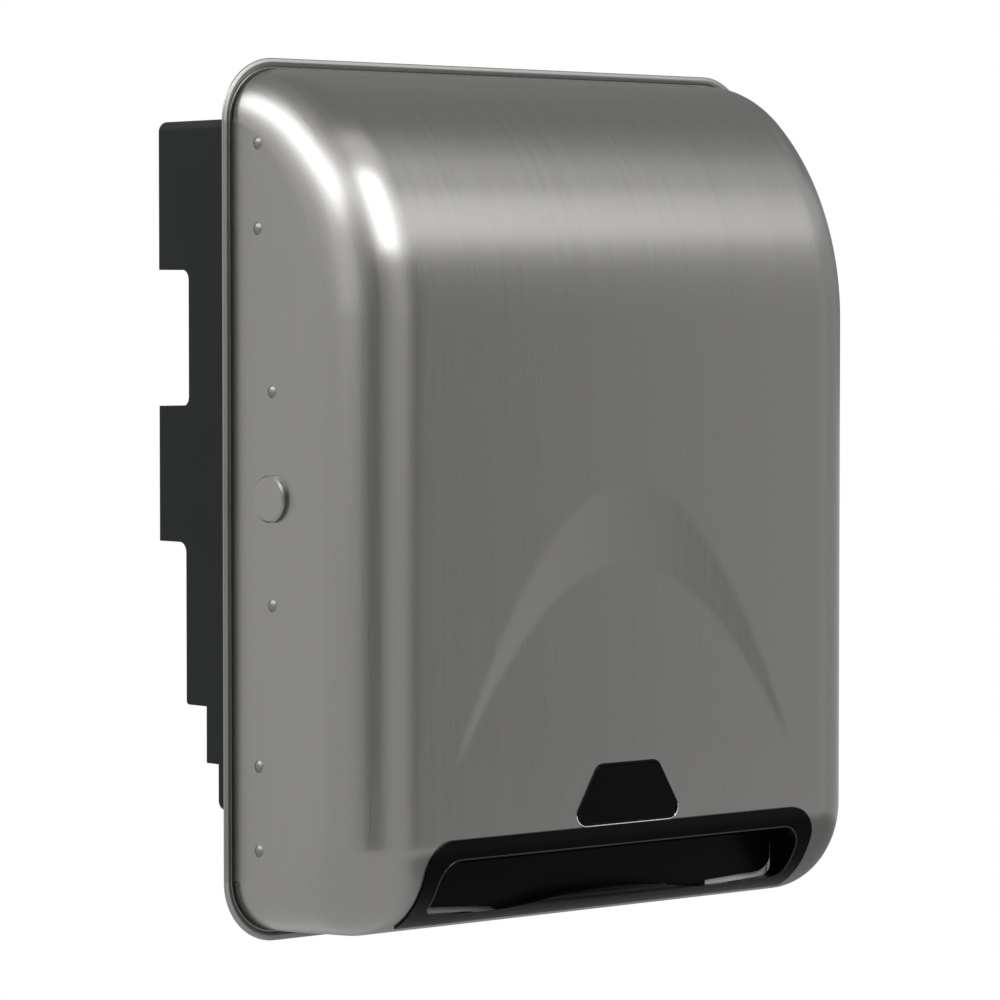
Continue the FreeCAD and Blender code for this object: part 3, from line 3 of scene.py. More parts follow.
import bmesh
import bpy
import numpy as np
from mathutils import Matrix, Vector


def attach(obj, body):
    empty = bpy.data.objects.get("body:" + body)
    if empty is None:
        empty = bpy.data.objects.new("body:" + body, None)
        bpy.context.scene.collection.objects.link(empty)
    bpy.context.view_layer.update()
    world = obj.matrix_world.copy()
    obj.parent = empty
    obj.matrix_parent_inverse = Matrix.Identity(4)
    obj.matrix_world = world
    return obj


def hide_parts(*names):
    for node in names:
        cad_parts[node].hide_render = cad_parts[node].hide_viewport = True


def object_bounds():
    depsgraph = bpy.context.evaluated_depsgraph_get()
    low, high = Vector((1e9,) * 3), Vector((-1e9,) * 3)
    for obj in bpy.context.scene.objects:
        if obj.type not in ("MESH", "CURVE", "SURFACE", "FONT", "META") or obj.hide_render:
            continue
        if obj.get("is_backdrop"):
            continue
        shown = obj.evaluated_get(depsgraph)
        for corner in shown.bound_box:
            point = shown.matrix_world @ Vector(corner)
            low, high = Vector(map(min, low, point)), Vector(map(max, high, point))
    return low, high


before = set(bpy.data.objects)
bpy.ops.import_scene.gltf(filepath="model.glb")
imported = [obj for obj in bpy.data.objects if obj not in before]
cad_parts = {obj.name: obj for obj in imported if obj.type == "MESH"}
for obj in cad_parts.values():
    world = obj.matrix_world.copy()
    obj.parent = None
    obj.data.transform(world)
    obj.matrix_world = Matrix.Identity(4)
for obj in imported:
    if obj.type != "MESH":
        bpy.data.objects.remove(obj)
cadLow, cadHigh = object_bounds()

print("scene: frame loaded with", len(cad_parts), "nodes")

millimetre = 0.001
mergeGap = 0.002 * millimetre  # points closer than this are one
emptyEdge = 1e-7               # metres, a shorter edge counts as none


# Small tools

def linear(hexColour):
    # sRGB hex to the linear colour that the shaders work in
    values = [int(hexColour[i:i + 2], 16) / 255 for i in (1, 3, 5)]
    return tuple(v / 12.92 if v <= 0.04045 else ((v + 0.055) / 1.055) ** 2.4 for v in values) + (1.0,)


def setInputs(tree, node, inputs):
    # links an input that is given a socket, and sets any other
    for name, value in inputs.items():
        if isinstance(value, bpy.types.NodeSocket):
            tree.links.new(value, node.inputs[name])
        else:
            node.inputs[name].default_value = value


def addNode(tree, kind, inputs=None, **settings):
    node = tree.nodes.new(kind)
    for name, value in settings.items():
        setattr(node, name, value)
    setInputs(tree, node, inputs or {})
    return node


def emptyMaterial(name):
    material = bpy.data.materials.new(name)
    material.use_nodes = True
    material.node_tree.nodes.clear()
    return material, material.node_tree


def newMaterial(name):
    material, tree = emptyMaterial(name)
    surface = addNode(tree, "ShaderNodeBsdfPrincipled")
    addNode(tree, "ShaderNodeOutputMaterial", {"Surface": surface.outputs[0]})
    return material, tree, surface


def addObject(name, data):
    added = bpy.data.objects.new(name, data)
    bpy.context.scene.collection.objects.link(added)
    return added


def place(thing, at, way):
    # puts a lamp, card or camera somewhere, facing along a direction
    thing.location = at
    thing.rotation_mode = "QUATERNION"
    thing.rotation_quaternion = Vector(way).to_track_quat("-Z", "Y")


def smoothShaded(mesh, material):
    mesh.polygons.foreach_set("use_smooth", np.full(len(mesh.polygons), True))
    mesh.materials.clear()
    mesh.materials.append(material)


def mendMesh(mesh, gap, flatAngle=0.0):
    # joins points closer than the gap, drops empty faces, merges flat ones and turns the normals outwards
    work = bmesh.new()
    work.from_mesh(mesh)
    bmesh.ops.remove_doubles(work, verts=work.verts, dist=gap)
    bmesh.ops.dissolve_degenerate(work, edges=work.edges, dist=emptyEdge)
    if flatAngle:
        bmesh.ops.dissolve_limit(work, angle_limit=flatAngle, verts=work.verts, edges=work.edges)
    bmesh.ops.recalc_face_normals(work, faces=work.faces)
    work.to_mesh(mesh)
    work.free()
    mesh.update()


def meshPiece(name, points, faces, material, body):
    mesh = bpy.data.meshes.new(name)
    mesh.from_pydata(points.tolist(), [], faces.tolist())
    mesh.update()
    smoothShaded(mesh, material)
    piece = addObject(name, mesh)
    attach(piece, body)
    return piece


def onwards(start, end, count):
    # evenly spaced values after the start, the last of them at the end
    return np.linspace(start, end, count)[1:]


def gridFaces(index):
    # four-cornered faces of a grid of point numbers
    a, b = index[:-1, :-1], index[1:, :-1]
    c, d = index[1:, 1:], index[:-1, 1:]
    return np.stack([a, b, c, d], axis=-1).reshape(-1, 4)


# Finishes

steelLook = {
    "colour": "#868583",       # ferritic stainless, a little warm, as grey as it looks in a plain room
    "roughness": 0.29,
    "anisotropy": 0.75,        # wide across the grain, tight along it
    "grainWidth": 0.55,        # mm, coarser than the real 0.1 mm so that it shows
    "grainLength": 42.0,       # mm
    "streakWidth": 3.5,        # mm, slow changes from the brushing belt
    "streakLength": 260.0,     # mm
    "grainDepth": 0.010,       # mm
    "grainStrength": 0.11,
    "streakShare": 0.4,        # of the streaks against the fine grain
    "darkest": 0.94,           # share of the colour in the darkest lines
    "roughnessSpread": 0.03,
}


def stretchedNoise(tree, grainMap, width, length, detail, roughness):
    # noise drawn out along the grain, width and length in mm
    mapping = addNode(tree, "ShaderNodeMapping", {
        "Vector": grainMap.outputs[0], "Scale": (1000 / width, 1000 / length, 1),
    })
    return addNode(tree, "ShaderNodeTexNoise", {
        "Vector": mapping.outputs[0], "Scale": 1.0, "Detail": detail, "Roughness": roughness,
    }, noise_dimensions="2D")


def brushedStainless(name, look):
    # number 4 finish, brushed along the sheet: lines that spread each light sideways
    material, tree, surface = newMaterial(name)
    grainMap = addNode(tree, "ShaderNodeUVMap", uv_map="grain")
    fine = stretchedNoise(tree, grainMap, look["grainWidth"], look["grainLength"],
                          detail=3.0, roughness=0.6)
    slow = stretchedNoise(tree, grainMap, look["streakWidth"], look["streakLength"],
                          detail=2.0, roughness=0.5)
    both = addNode(tree, "ShaderNodeMix", {
        "Factor": look["streakShare"], "A": fine.outputs["Fac"], "B": slow.outputs["Fac"],
    }, data_type="FLOAT")
    rough = addNode(tree, "ShaderNodeMapRange", {
        "Value": both.outputs[0], "From Min": 0.25, "From Max": 0.75,
        "To Min": look["roughness"] - look["roughnessSpread"],
        "To Max": look["roughness"] + look["roughnessSpread"],
    })
    bright = linear(look["colour"])
    tone = addNode(tree, "ShaderNodeValToRGB", {"Fac": both.outputs[0]})
    tone.color_ramp.elements[0].position = 0.3
    tone.color_ramp.elements[0].color = tuple(c * look["darkest"] for c in bright[:3]) + (1.0,)
    tone.color_ramp.elements[1].position = 0.7
    tone.color_ramp.elements[1].color = bright
    bump = addNode(tree, "ShaderNodeBump", {
        "Strength": look["grainStrength"], "Distance": look["grainDepth"] * millimetre,
        "Height": fine.outputs["Fac"],
    })
    across = addNode(tree, "ShaderNodeTangent", direction_type="UV_MAP", uv_map="grain")
    setInputs(tree, surface, {
        "Metallic": 1.0, "Anisotropic": look["anisotropy"], "Base Color": tone.outputs[0],
        "Roughness": rough.outputs[0], "Normal": bump.outputs[0], "Tangent": across.outputs[0],
    })
    return material


cloudsPerMetre = 22.0          # slow changes on every moulded, cast or rolled surface


def grainedSurface(name, colour, roughness, grain, depth, metallic=0.0, spread=0.05, tint=0.08, specular=0.5):
    # an even surface with a fine grain: grain and depth in mm, spread in roughness, tint in brightness
    material, tree, surface = newMaterial(name)
    position = addNode(tree, "ShaderNodeTexCoord").outputs["Object"]
    texture = addNode(tree, "ShaderNodeTexNoise", {
        "Vector": position, "Scale": 1000 / grain, "Detail": 3.0, "Roughness": 0.55,
    })
    cloud = addNode(tree, "ShaderNodeTexNoise", {
        "Vector": position, "Scale": cloudsPerMetre, "Detail": 2.0,
    })
    rough = addNode(tree, "ShaderNodeMapRange", {
        "Value": cloud.outputs["Fac"], "From Min": 0.3, "From Max": 0.7,
        "To Min": roughness - spread, "To Max": roughness + spread,
    })
    bright = linear(colour)
    darker = tuple(c * (1 - tint) for c in bright[:3]) + (1.0,)
    tone = addNode(tree, "ShaderNodeMix", {
        "Factor": cloud.outputs["Fac"], "A": darker, "B": bright,
    }, data_type="RGBA")
    bump = addNode(tree, "ShaderNodeBump", {
        "Strength": 0.3, "Distance": depth * millimetre, "Height": texture.outputs["Fac"],
    })
    setInputs(tree, surface, {
        "Metallic": metallic, "Specular IOR Level": specular, "Base Color": tone.outputs["Result"],
        "Roughness": rough.outputs[0], "Normal": bump.outputs[0],
    })
    return material


bladeLook = {
    "ground": "#f0eee8",       # fine-ground edge, nearly matt
    "paintedShade": "#0b0b0c",    # painted shade above it: black where the strip lies in shade
    "edgeHeight": -182.6,      # mm, where the bright edge stops and the painted shade begins
    "edgeFade": 0.3,
    "leftShadeShare": 0.35,         # painted shade: the ground edge darker towards the left end, which lies in shade
    "leftShadeX": -60.0,            # mm, where that painted shade is darkest
    "metalShare": 0.5,         # of the ground edge, which scatters as much as it mirrors
    "roughness": (0.42, 0.58),
    "grainPerMetre": 1200.0,
}


def bladeWithPaintedShade(name, look):
    # strip painted black above a bright ground edge along its teeth: painted shade, with the edge darker
    # again towards the left end
    material, tree, surface = newMaterial(name)
    position = addNode(tree, "ShaderNodeTexCoord").outputs["Object"]
    apart = addNode(tree, "ShaderNodeSeparateXYZ", {"Vector": position})
    # painted shade: black above the edge height, the bright ground edge below it
    bright = addNode(tree, "ShaderNodeMapRange", {
        "Value": apart.outputs["Z"],
        "From Min": (look["edgeHeight"] + look["edgeFade"]) * millimetre,
        "From Max": (look["edgeHeight"] - look["edgeFade"]) * millimetre,
    })
    # painted shade: the bright edge darkens towards its left end
    paintedLeftShade = addNode(tree, "ShaderNodeMapRange", {
        "Value": apart.outputs["X"], "From Min": look["leftShadeX"] * millimetre, "From Max": 0.0,
        "To Min": look["leftShadeShare"], "To Max": 1.0,
    })
    ground = addNode(tree, "ShaderNodeMath", {0: bright.outputs[0], 1: paintedLeftShade.outputs[0]}, operation="MULTIPLY")
    grain = addNode(tree, "ShaderNodeTexNoise", {
        "Vector": position, "Scale": look["grainPerMetre"], "Detail": 2.0,
    })
    worn = addNode(tree, "ShaderNodeMapRange", {
        "Value": grain.outputs["Fac"], "To Min": look["roughness"][0], "To Max": look["roughness"][1],
    })
    tone = addNode(tree, "ShaderNodeMix", {
        "Factor": ground.outputs[0], "A": linear(look["paintedShade"]), "B": linear(look["ground"]),
    }, data_type="RGBA")
    metal = addNode(tree, "ShaderNodeMath", {
        0: ground.outputs[0], 1: look["metalShare"],
    }, operation="MULTIPLY")
    setInputs(tree, surface, {
        "Base Color": tone.outputs["Result"], "Metallic": metal.outputs[0], "Roughness": worn.outputs[0],
    })
    return material


finishes = {
    # polished stainless: lock, pins, shafts and the window's lip, nearly a mirror
    "polishedStainless": dict(colour="#d6d4d0", roughness=0.16, grain=1.2, depth=0.004,
                              metallic=1.0, spread=0.03),
    # satin stainless of the plug and of the plain sheet, the same grey as the brushed cover
    "satinStainless": dict(colour="#868583", roughness=0.34, grain=0.8, depth=0.006,
                           metallic=1.0, spread=0.04),
    # tumbled stainless of the rivets
    "tumbledStainless": dict(colour="#72716e", roughness=0.42, grain=0.8, depth=0.005,
                             metallic=1.0, spread=0.04),
    # zinc-plated sheet steel: cool grey with a soft crystal bloom
    "zincPlatedSteel": dict(colour="#b4b8bc", roughness=0.36, grain=2.5, depth=0.01, metallic=1.0),
    # gloss ABS, polished mould: black with a clear reflection
    "glossBlackAbs": dict(colour="#060607", roughness=0.20, grain=6.0, depth=0.01,
                          spread=0.02, specular=0.05),
    # the same ABS on the narrow beads, where it is polished hardest
    "polishedBlackAbs": dict(colour="#060607", roughness=0.14, grain=6.0, depth=0.004,
                             spread=0.02, specular=0.4),
    # smoked acrylic lens: darker and smoother still
    "smokedAcrylic": dict(colour="#050506", roughness=0.06, grain=9.0, depth=0.002,
                          spread=0.01, specular=0.03),
    # spark-eroded ABS: black, satin, with a fine moulded grain
    "satinBlackAbs": dict(colour="#111414", roughness=0.45, grain=0.7, depth=0.03,
                          spread=0.05, specular=0.10),
    # the same ABS with less grain on the paper's side
    "smoothBlackAbs": dict(colour="#080809", roughness=0.34, grain=0.9, depth=0.015,
                           spread=0.04, specular=0.05),
    # grey glass-filled nylon arms
    "greyNylon": dict(colour="#8b8e90", roughness=0.48, grain=0.9, depth=0.03),
    # blue polypropylene core plugs
    "bluePolypropylene": dict(colour="#2f5f96", roughness=0.38, grain=1.1, depth=0.02),
    # white acetal gears and bushes: slightly waxy
    "whiteAcetal": dict(colour="#e6e4dc", roughness=0.34, grain=1.5, depth=0.01, tint=0.03),
    # black feed rubber: matt, ground
    "feedRubber": dict(colour="#2b2b2b", roughness=0.78, grain=0.5, depth=0.05, specular=0.35),
    # soft black foam seal
    "foamSeal": dict(colour="#1f1f1f", roughness=0.85, grain=0.6, depth=0.08, specular=0.3),
    # green thumb wheel
    "greenPolypropylene": dict(colour="#2f7d55", roughness=0.40, grain=1.0, depth=0.02),
    # plated motor can
    "motorCan": dict(colour="#b9bcbe", roughness=0.30, grain=2.0, depth=0.008, metallic=1.0),
    # machined brass pinion
    "machinedBrass": dict(colour="#d8b366", roughness=0.28, grain=0.8, depth=0.01, metallic=1.0),
    # green solder mask over the board's weave
    "solderMask": dict(colour="#1d6a3c", roughness=0.30, grain=1.6, depth=0.02),
    # clear epoxy of the sensor's eyes
    "clearEpoxy": dict(colour="#9a9aa6", roughness=0.08, grain=5.0, depth=0.002, spread=0.01),
    # dark grey ABS of the battery and control housings
    "greyAbs": dict(colour="#55585b", roughness=0.46, grain=0.8, depth=0.03),
    # printed sleeve of the cells, plain
    "cellSleeve": dict(colour="#2a2b2e", roughness=0.26, grain=3.0, depth=0.006, spread=0.03),
    # nickel-plated contact strip
    "nickelStrip": dict(colour="#c9c5bd", roughness=0.24, grain=1.5, depth=0.006, metallic=1.0),
    # white knobs and the green button
    "whiteAbs": dict(colour="#e2e1dd", roughness=0.36, grain=1.0, depth=0.01, tint=0.03),
    "greenAbs": dict(colour="#3a9a5c", roughness=0.36, grain=1.0, depth=0.01),
    # vinyl jackets of the leads
    "redVinyl": dict(colour="#b02d28", roughness=0.40, grain=1.4, depth=0.01),
    "greyVinyl": dict(colour="#8a8b8d", roughness=0.40, grain=1.4, depth=0.01),
}

finishOfNode = {
    "tumbledStainless": ["cover_rivets"],
    "polishedStainless": ["lock_body", "lock_core", "hinge_pins", "arm_pin", "drive_shaft",
                          "pinch_shaft", "idler_axle", "arm_spring"],
    "satinStainless": ["cover_shell", "plug_button"],
    "zincPlatedSteel": ["lock_plates", "hinge_leaves", "lock_nut", "lock_cam", "cam_screw", "hinge_brackets",
                        "lock_keeper", "bracket_screws", "arm_bracket", "left_frame_plate",
                        "right_frame_plate", "rear_channel", "blade_screws"],
    # the tear bar gets painted shade above its ground edge
    "bladeWithPaintedShade": ["tear_bar"],
    "glossBlackAbs": ["mouth_bezel"],
    "smokedAcrylic": ["sensor_window"],
    "satinBlackAbs": ["rear_housing"],
    "smoothBlackAbs": ["paper_guide", "front_beam"],
    "greyNylon": ["left_roll_arm", "right_roll_arm"],
    "bluePolypropylene": ["left_hub", "right_hub"],
    "whiteAcetal": ["roller_bushes", "drive_gear", "idler_gear"],
    "feedRubber": ["drive_sleeves", "pinch_rollers"],
    "foamSeal": ["window_seal"],
    "greenPolypropylene": ["hand_wheel"],
    "motorCan": ["motor"],
    "machinedBrass": ["motor_pinion"],
    "solderMask": ["control_board", "sensor_board"],
    "clearEpoxy": ["sensor_eyes"],
    "greyAbs": ["battery_box", "battery_door", "control_cover"],
    "cellSleeve": ["battery_cells"],
    "nickelStrip": ["battery_contacts"],
    "whiteAbs": ["length_switch_knob", "delay_switch_knob"],
    "greenAbs": ["feed_button"],
    "redVinyl": ["motor_lead"],
    "greyVinyl": ["sensor_lead"],
}

materials = {name: grainedSurface(name, **look) for name, look in finishes.items()}
materials["brushedStainless"] = brushedStainless("brushedStainless", steelLook)
materials["bladeWithPaintedShade"] = bladeWithPaintedShade("bladeWithPaintedShade", bladeLook)

for finish, nodeNames in finishOfNode.items():
    for nodeName in nodeNames:
        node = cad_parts[nodeName]
        node.data.materials.clear()
        node.data.materials.append(materials[finish])
print("scene: finishes set on", sum(len(v) for v in finishOfNode.values()), "nodes")


# Pressed cover

cover = {
    "halfWidth": 164.1,        # body at the rim, mm
    "halfHeight": 203.5,
    "frontY": -101.6,
    "rimY": -5.0,
    "sideDraft": 1.8,          # degrees
    "bottomDraft": 2.5,        # degrees, the underside rises to the front
    "cornerAtRim": 25.0,
    "cornerAtFront": 33.0,
    "crownDrop": 118.3,
    "crownRadius": 76.0,       # first arc of the crown
    "chinRadius": 46.0,
    "sheet": 0.9,
    "rimHalfWidth": 168.9,
    "rimHalfHeight": 208.3,
    "rimCorner": 29.8,
    "rimHem": 1.6,
    "rimFillet": 1.5,
    "grooveWidth": 1.1,        # dark line between the body and the rolled rim
    "grooveDepth": 1.2,
    "grooveBend": 0.35,        # rounding of its edges
    "beadRise": 0.4,           # crown of the rolled rim
    "hemEnd": 0.5,             # the folded edge stops this far outside the body
    "holeHalfWidth": 117.0,    # hole for the mouth, hidden under the bezel
    "holeTop": -161.5,
    "holeRearY": -83.0,
    "archTop": 9.0,
    "archFloorTop": -31.0,
    "archFoot": -123.0,
    "archHalfWidth": 108.0,
    "archDepth": 1.9,
    "archSoftRun": 2.0,        # mm of the ramp that is rounded at each edge
    "archMargins": (3.0, 2.0),  # mm above and below the arch where the mesh is still close
}

coverSteps = {
    # how many points the cover's mesh has along each part of its section and across it
    "crownSearch": 4001,
    "crown": 64,
    "aboveArch": 9,
    "arch": 92,
    "belowArch": 10,
    "chinTop": 5,
    "chinHole": 22,
    "chinFoot": 14,
    "underside": 12,
    "side": 9,
    "turn": 21,
    "edge": 4,
    "middle": 119,
    "grooveTurn": 5,
    "rimTurn": 9,
}


def crownPoint(c, t):
    # two tangent arcs from the rim, level at first, to the upright front; t goes from 0 to 1 by turned angle
    reach = c["rimY"] - c["frontY"]
    drop = c["crownDrop"]
    tight = c["crownRadius"]
    wide = (reach ** 2 + drop ** 2 - 2 * drop * tight) / (2 * (reach - tight))
    frontTop = c["halfHeight"] - drop
    seam = math.atan2(wide - reach, drop - tight)
    angle = t * math.pi / 2
    first = angle < seam
    radius = np.where(first, tight, wide)
    centreY = np.where(first, c["rimY"], c["frontY"] + wide)
    centreZ = np.where(first, c["halfHeight"] - tight, frontTop)
    ny, nz = -np.sin(angle), np.cos(angle)
    return centreY + radius * ny, centreZ + radius * nz, ny, nz


def coverProfile(c, steps):
    # the side view as points and outward normals: crown, upright front, chin arc, underside
    ringY = c["rimY"] - c["rimHem"] - c["rimFillet"]
    fine = np.linspace(0, 1, steps["crownSearch"])
    y, z, ny, nz = crownPoint(c, fine)
    share = (c["rimY"] - y) / (c["rimY"] - c["frontY"])
    radius = c["cornerAtRim"] + (c["cornerAtFront"] - c["cornerAtRim"]) * share
    start = fine[np.argmax(y - radius * ny <= ringY)]
    crown = np.stack(crownPoint(c, start + (1 - start) * np.linspace(0, 1, steps["crown"])))

    frontTop = c["halfHeight"] - c["crownDrop"]
    r = c["chinRadius"]
    under = math.radians(c["bottomDraft"])
    centreY = c["frontY"] + r
    chinTop = -c["halfHeight"] + (c["rimY"] - centreY) * math.tan(under) + r / math.cos(under)
    archStart, archEnd = c["archTop"] + c["archMargins"][0], c["archFoot"] - c["archMargins"][1]
    levels = np.concatenate([
        onwards(frontTop, archStart, steps["aboveArch"]),
        onwards(archStart, archEnd, steps["arch"]),
        onwards(archEnd, chinTop, steps["belowArch"]),
    ])
    front = np.zeros((4, len(levels)))
    front[0], front[1], front[2] = c["frontY"], levels, -1

    holeStart = math.asin((chinTop - c["holeTop"]) / r)
    holeEnd = math.acos((centreY - c["holeRearY"]) / r)
    angle = np.concatenate([
        onwards(0, holeStart, steps["chinTop"]),
        onwards(holeStart, holeEnd, steps["chinHole"]),
        onwards(holeEnd, math.pi / 2 - under, steps["chinFoot"]),
    ])
    ny, nz = -np.cos(angle), -np.sin(angle)
    chin = np.stack([centreY + r * ny, chinTop + r * nz, ny, nz])

    undersideEnd = ringY - c["cornerAtRim"] * math.sin(under)
    back = onwards(centreY - r * math.sin(under), undersideEnd, steps["underside"])
    bottom = np.zeros((4, len(back)))
    bottom[0], bottom[1] = back, -c["halfHeight"] + (c["rimY"] - back) * math.tan(under)
    bottom[2], bottom[3] = -math.sin(under), -math.cos(under)

    profile = np.concatenate([crown, front, chin, bottom], axis=1)
    holeFirst = steps["crown"] + len(levels) + steps["chinTop"] - 2
    return profile, holeFirst, holeFirst + steps["chinHole"] - 1


def archDepth(c, x, z):
    # depth of the embossed arch: a ramp between two parabolas, then a floor that rises to its foot
    outer = c["archTop"] - (c["archTop"] - c["archFoot"]) * (x / c["archHalfWidth"]) ** 2
    inner = c["archFloorTop"] - (c["archFloorTop"] - c["archFoot"]) * (x / c["archHalfWidth"]) ** 2
    slope = c["archDepth"] / (c["archFloorTop"] - c["archFoot"])
    room = np.maximum(outer - inner, 0.5)
    share = np.clip((outer - z) / room, 0, 1)
    soft = np.clip(c["archSoftRun"] / room, 0.02, 0.5)
    early = np.where(share < soft, share ** 2 / (2 * soft), share - soft / 2)
    late = (1 - soft) - (1 - share) ** 2 / (2 * soft) + soft / 2
    share = np.where(share > 1 - soft, late, early) / (1 - soft / 2)
    floor = np.clip((np.minimum(z, inner) - c["archFoot"]) * slope, 0, None)
    inside = (outer > c["archFoot"]) & (z > c["archFoot"])
    return np.where(inside, np.clip(share, 0, 1) * floor, 0.0)


def coverGrid(c, steps):
    # rows run along the profile; columns run from the left rim over both corners to the right rim
    profile, holeFirst, holeLast = coverProfile(c, steps)
    y, z, ny, nz = profile[:, :, None]
    draft = math.tan(math.radians(c["sideDraft"]))
    depth = np.clip((c["rimY"] - y) / (c["rimY"] - c["frontY"]), 0, 1)
    radius = c["cornerAtRim"] + (c["cornerAtFront"] - c["cornerAtRim"]) * depth
    ringY = c["rimY"] - c["rimHem"] - c["rimFillet"]

    def wall(atY):
        return c["halfWidth"] - (c["rimY"] - atY) * draft

    def wide(values, count):
        return np.repeat(values, count, axis=1)

    phi = onwards(0, math.pi / 2, steps["turn"])
    centreY, centreZ = y - radius * ny, z - radius * nz
    turnY = centreY + radius * ny * np.cos(phi)
    turnZ = centreZ + radius * nz * np.cos(phi)
    turnX = wall(turnY) - radius * (1 - np.sin(phi))
    sideCount, edgeCount = steps["side"] - 1, steps["edge"]
    sideY = centreY + (ringY - centreY) * onwards(0, 1, steps["side"])
    sideZ = wide(centreZ, sideCount)
    flatEnd = wall(y) - radius
    edge = c["holeHalfWidth"] + (flatEnd - c["holeHalfWidth"]) * onwards(0, 1, edgeCount + 1)
    middle = np.linspace(-c["holeHalfWidth"], c["holeHalfWidth"], steps["middle"])
    middleX = np.repeat(middle[None], len(y), axis=0)
    middleY = y + archDepth(c, middleX, z)
    rightX = np.concatenate([edge, turnX, wall(sideY)], axis=1)
    rightY = np.concatenate([wide(y, edgeCount), turnY, sideY], axis=1)
    rightZ = np.concatenate([wide(z, edgeCount), turnZ, sideZ], axis=1)
    gridX = np.concatenate([-rightX[:, ::-1], middleX, rightX], axis=1)
    gridY = np.concatenate([rightY[:, ::-1], middleY, rightY], axis=1)
    gridZ = np.concatenate([rightZ[:, ::-1], wide(z, len(middle)), rightZ], axis=1)

    # the grain's map: u is the way over the sheet from its middle, v the way down along the profile
    along = np.concatenate([[0], np.cumsum(np.hypot(np.diff(profile[0]), np.diff(profile[1])))])
    overTurn = flatEnd + radius * phi
    overSide = flatEnd + radius * math.pi / 2 + (sideY - centreY)
    rightU = np.concatenate([edge, overTurn, overSide], axis=1)
    gridU = np.concatenate([-rightU[:, ::-1], middleX, rightU], axis=1)
    gridV = wide(along[:, None], gridU.shape[1])
    left = rightX.shape[1]
    hole = (holeFirst, holeLast, left, left + len(middle) - 1)
    points = np.stack([gridX, gridY, gridZ], axis=-1)
    return points, np.stack([gridU, gridV], axis=-1), hole, radius[0, 0], radius[-1, 0]


def gridNormals(points):
    down = np.gradient(points, axis=0)
    over = np.gradient(points, axis=1)
    normal = np.cross(down, over)
    length = np.linalg.norm(normal, axis=-1, keepdims=True)
    return normal / np.maximum(length, 1e-9)


def rimEdge(c, loop, corner):
    # the rim's outer edge opposite each point of the body's outline
    flatX, flatZ = c["halfWidth"] - corner, c["halfHeight"] - corner
    x, z = loop[:, 0], loop[:, 2]
    outX = c["rimHalfWidth"] - c["rimCorner"]
    outZ = c["rimHalfHeight"] - c["rimCorner"]
    dx = np.maximum(np.abs(x) - flatX, 0)
    dz = np.maximum(np.abs(z) - flatZ, 0)
    size = np.maximum(np.hypot(dx, dz), 1e-9)
    edgeX = np.sign(x) * (np.minimum(np.abs(x) / flatX, 1) * outX + c["rimCorner"] * dx / size)
    edgeZ = np.sign(z) * (np.minimum(np.abs(z) / flatZ, 1) * outZ + c["rimCorner"] * dz / size)
    return edgeX, edgeZ


def rimSection(c, steps):
    # across the rim: down the body into the groove, up its outer wall, over the bead, round the edge
    frontY = c["rimY"] - c["rimHem"]
    floorY = frontY + c["grooveDepth"]
    width = c["rimHalfWidth"] - c["halfWidth"]
    edge = c["rimHem"] / 2
    groove, bend = c["grooveWidth"], c["grooveBend"]
    turn = np.linspace(0, math.pi / 2, steps["grooveTurn"])
    half = np.linspace(-math.pi / 2, math.pi / 2, steps["rimTurn"])
    over = np.linspace(0, 1, steps["rimTurn"])[1:-1]
    offsets = np.concatenate([
        bend - bend * np.cos(turn), groove - bend + bend * np.sin(turn), [groove],
        groove + bend - bend * np.cos(turn), groove + bend + (width - edge - groove - bend) * over,
        width - edge + edge * np.cos(half), [c["hemEnd"], -c["sheet"]],
    ])
    heights = np.concatenate([
        floorY - bend + bend * np.sin(turn), floorY - bend + bend * np.cos(turn), [frontY + 2 * bend],
        frontY + bend - bend * np.sin(turn), frontY - c["beadRise"] * np.sin(math.pi * over),
        frontY + edge + edge * np.sin(half), [c["rimY"], c["rimY"]],
    ])
    # the way along the section from the body's edge, for the grain's map
    bodyEdgeY = frontY - c["rimFillet"]
    run = np.cumsum(np.hypot(np.diff(offsets, prepend=0), np.diff(heights, prepend=bodyEdgeY)))
    return offsets / width, heights, run


def roundTrip(index, top, bottom, left, right):
    # the point numbers once round a part of the grid, clockwise from its upper left corner
    return np.concatenate([
        index[top, left:right], index[top:bottom, right],
        index[bottom, right:left:-1], index[bottom:top:-1, left],
    ])


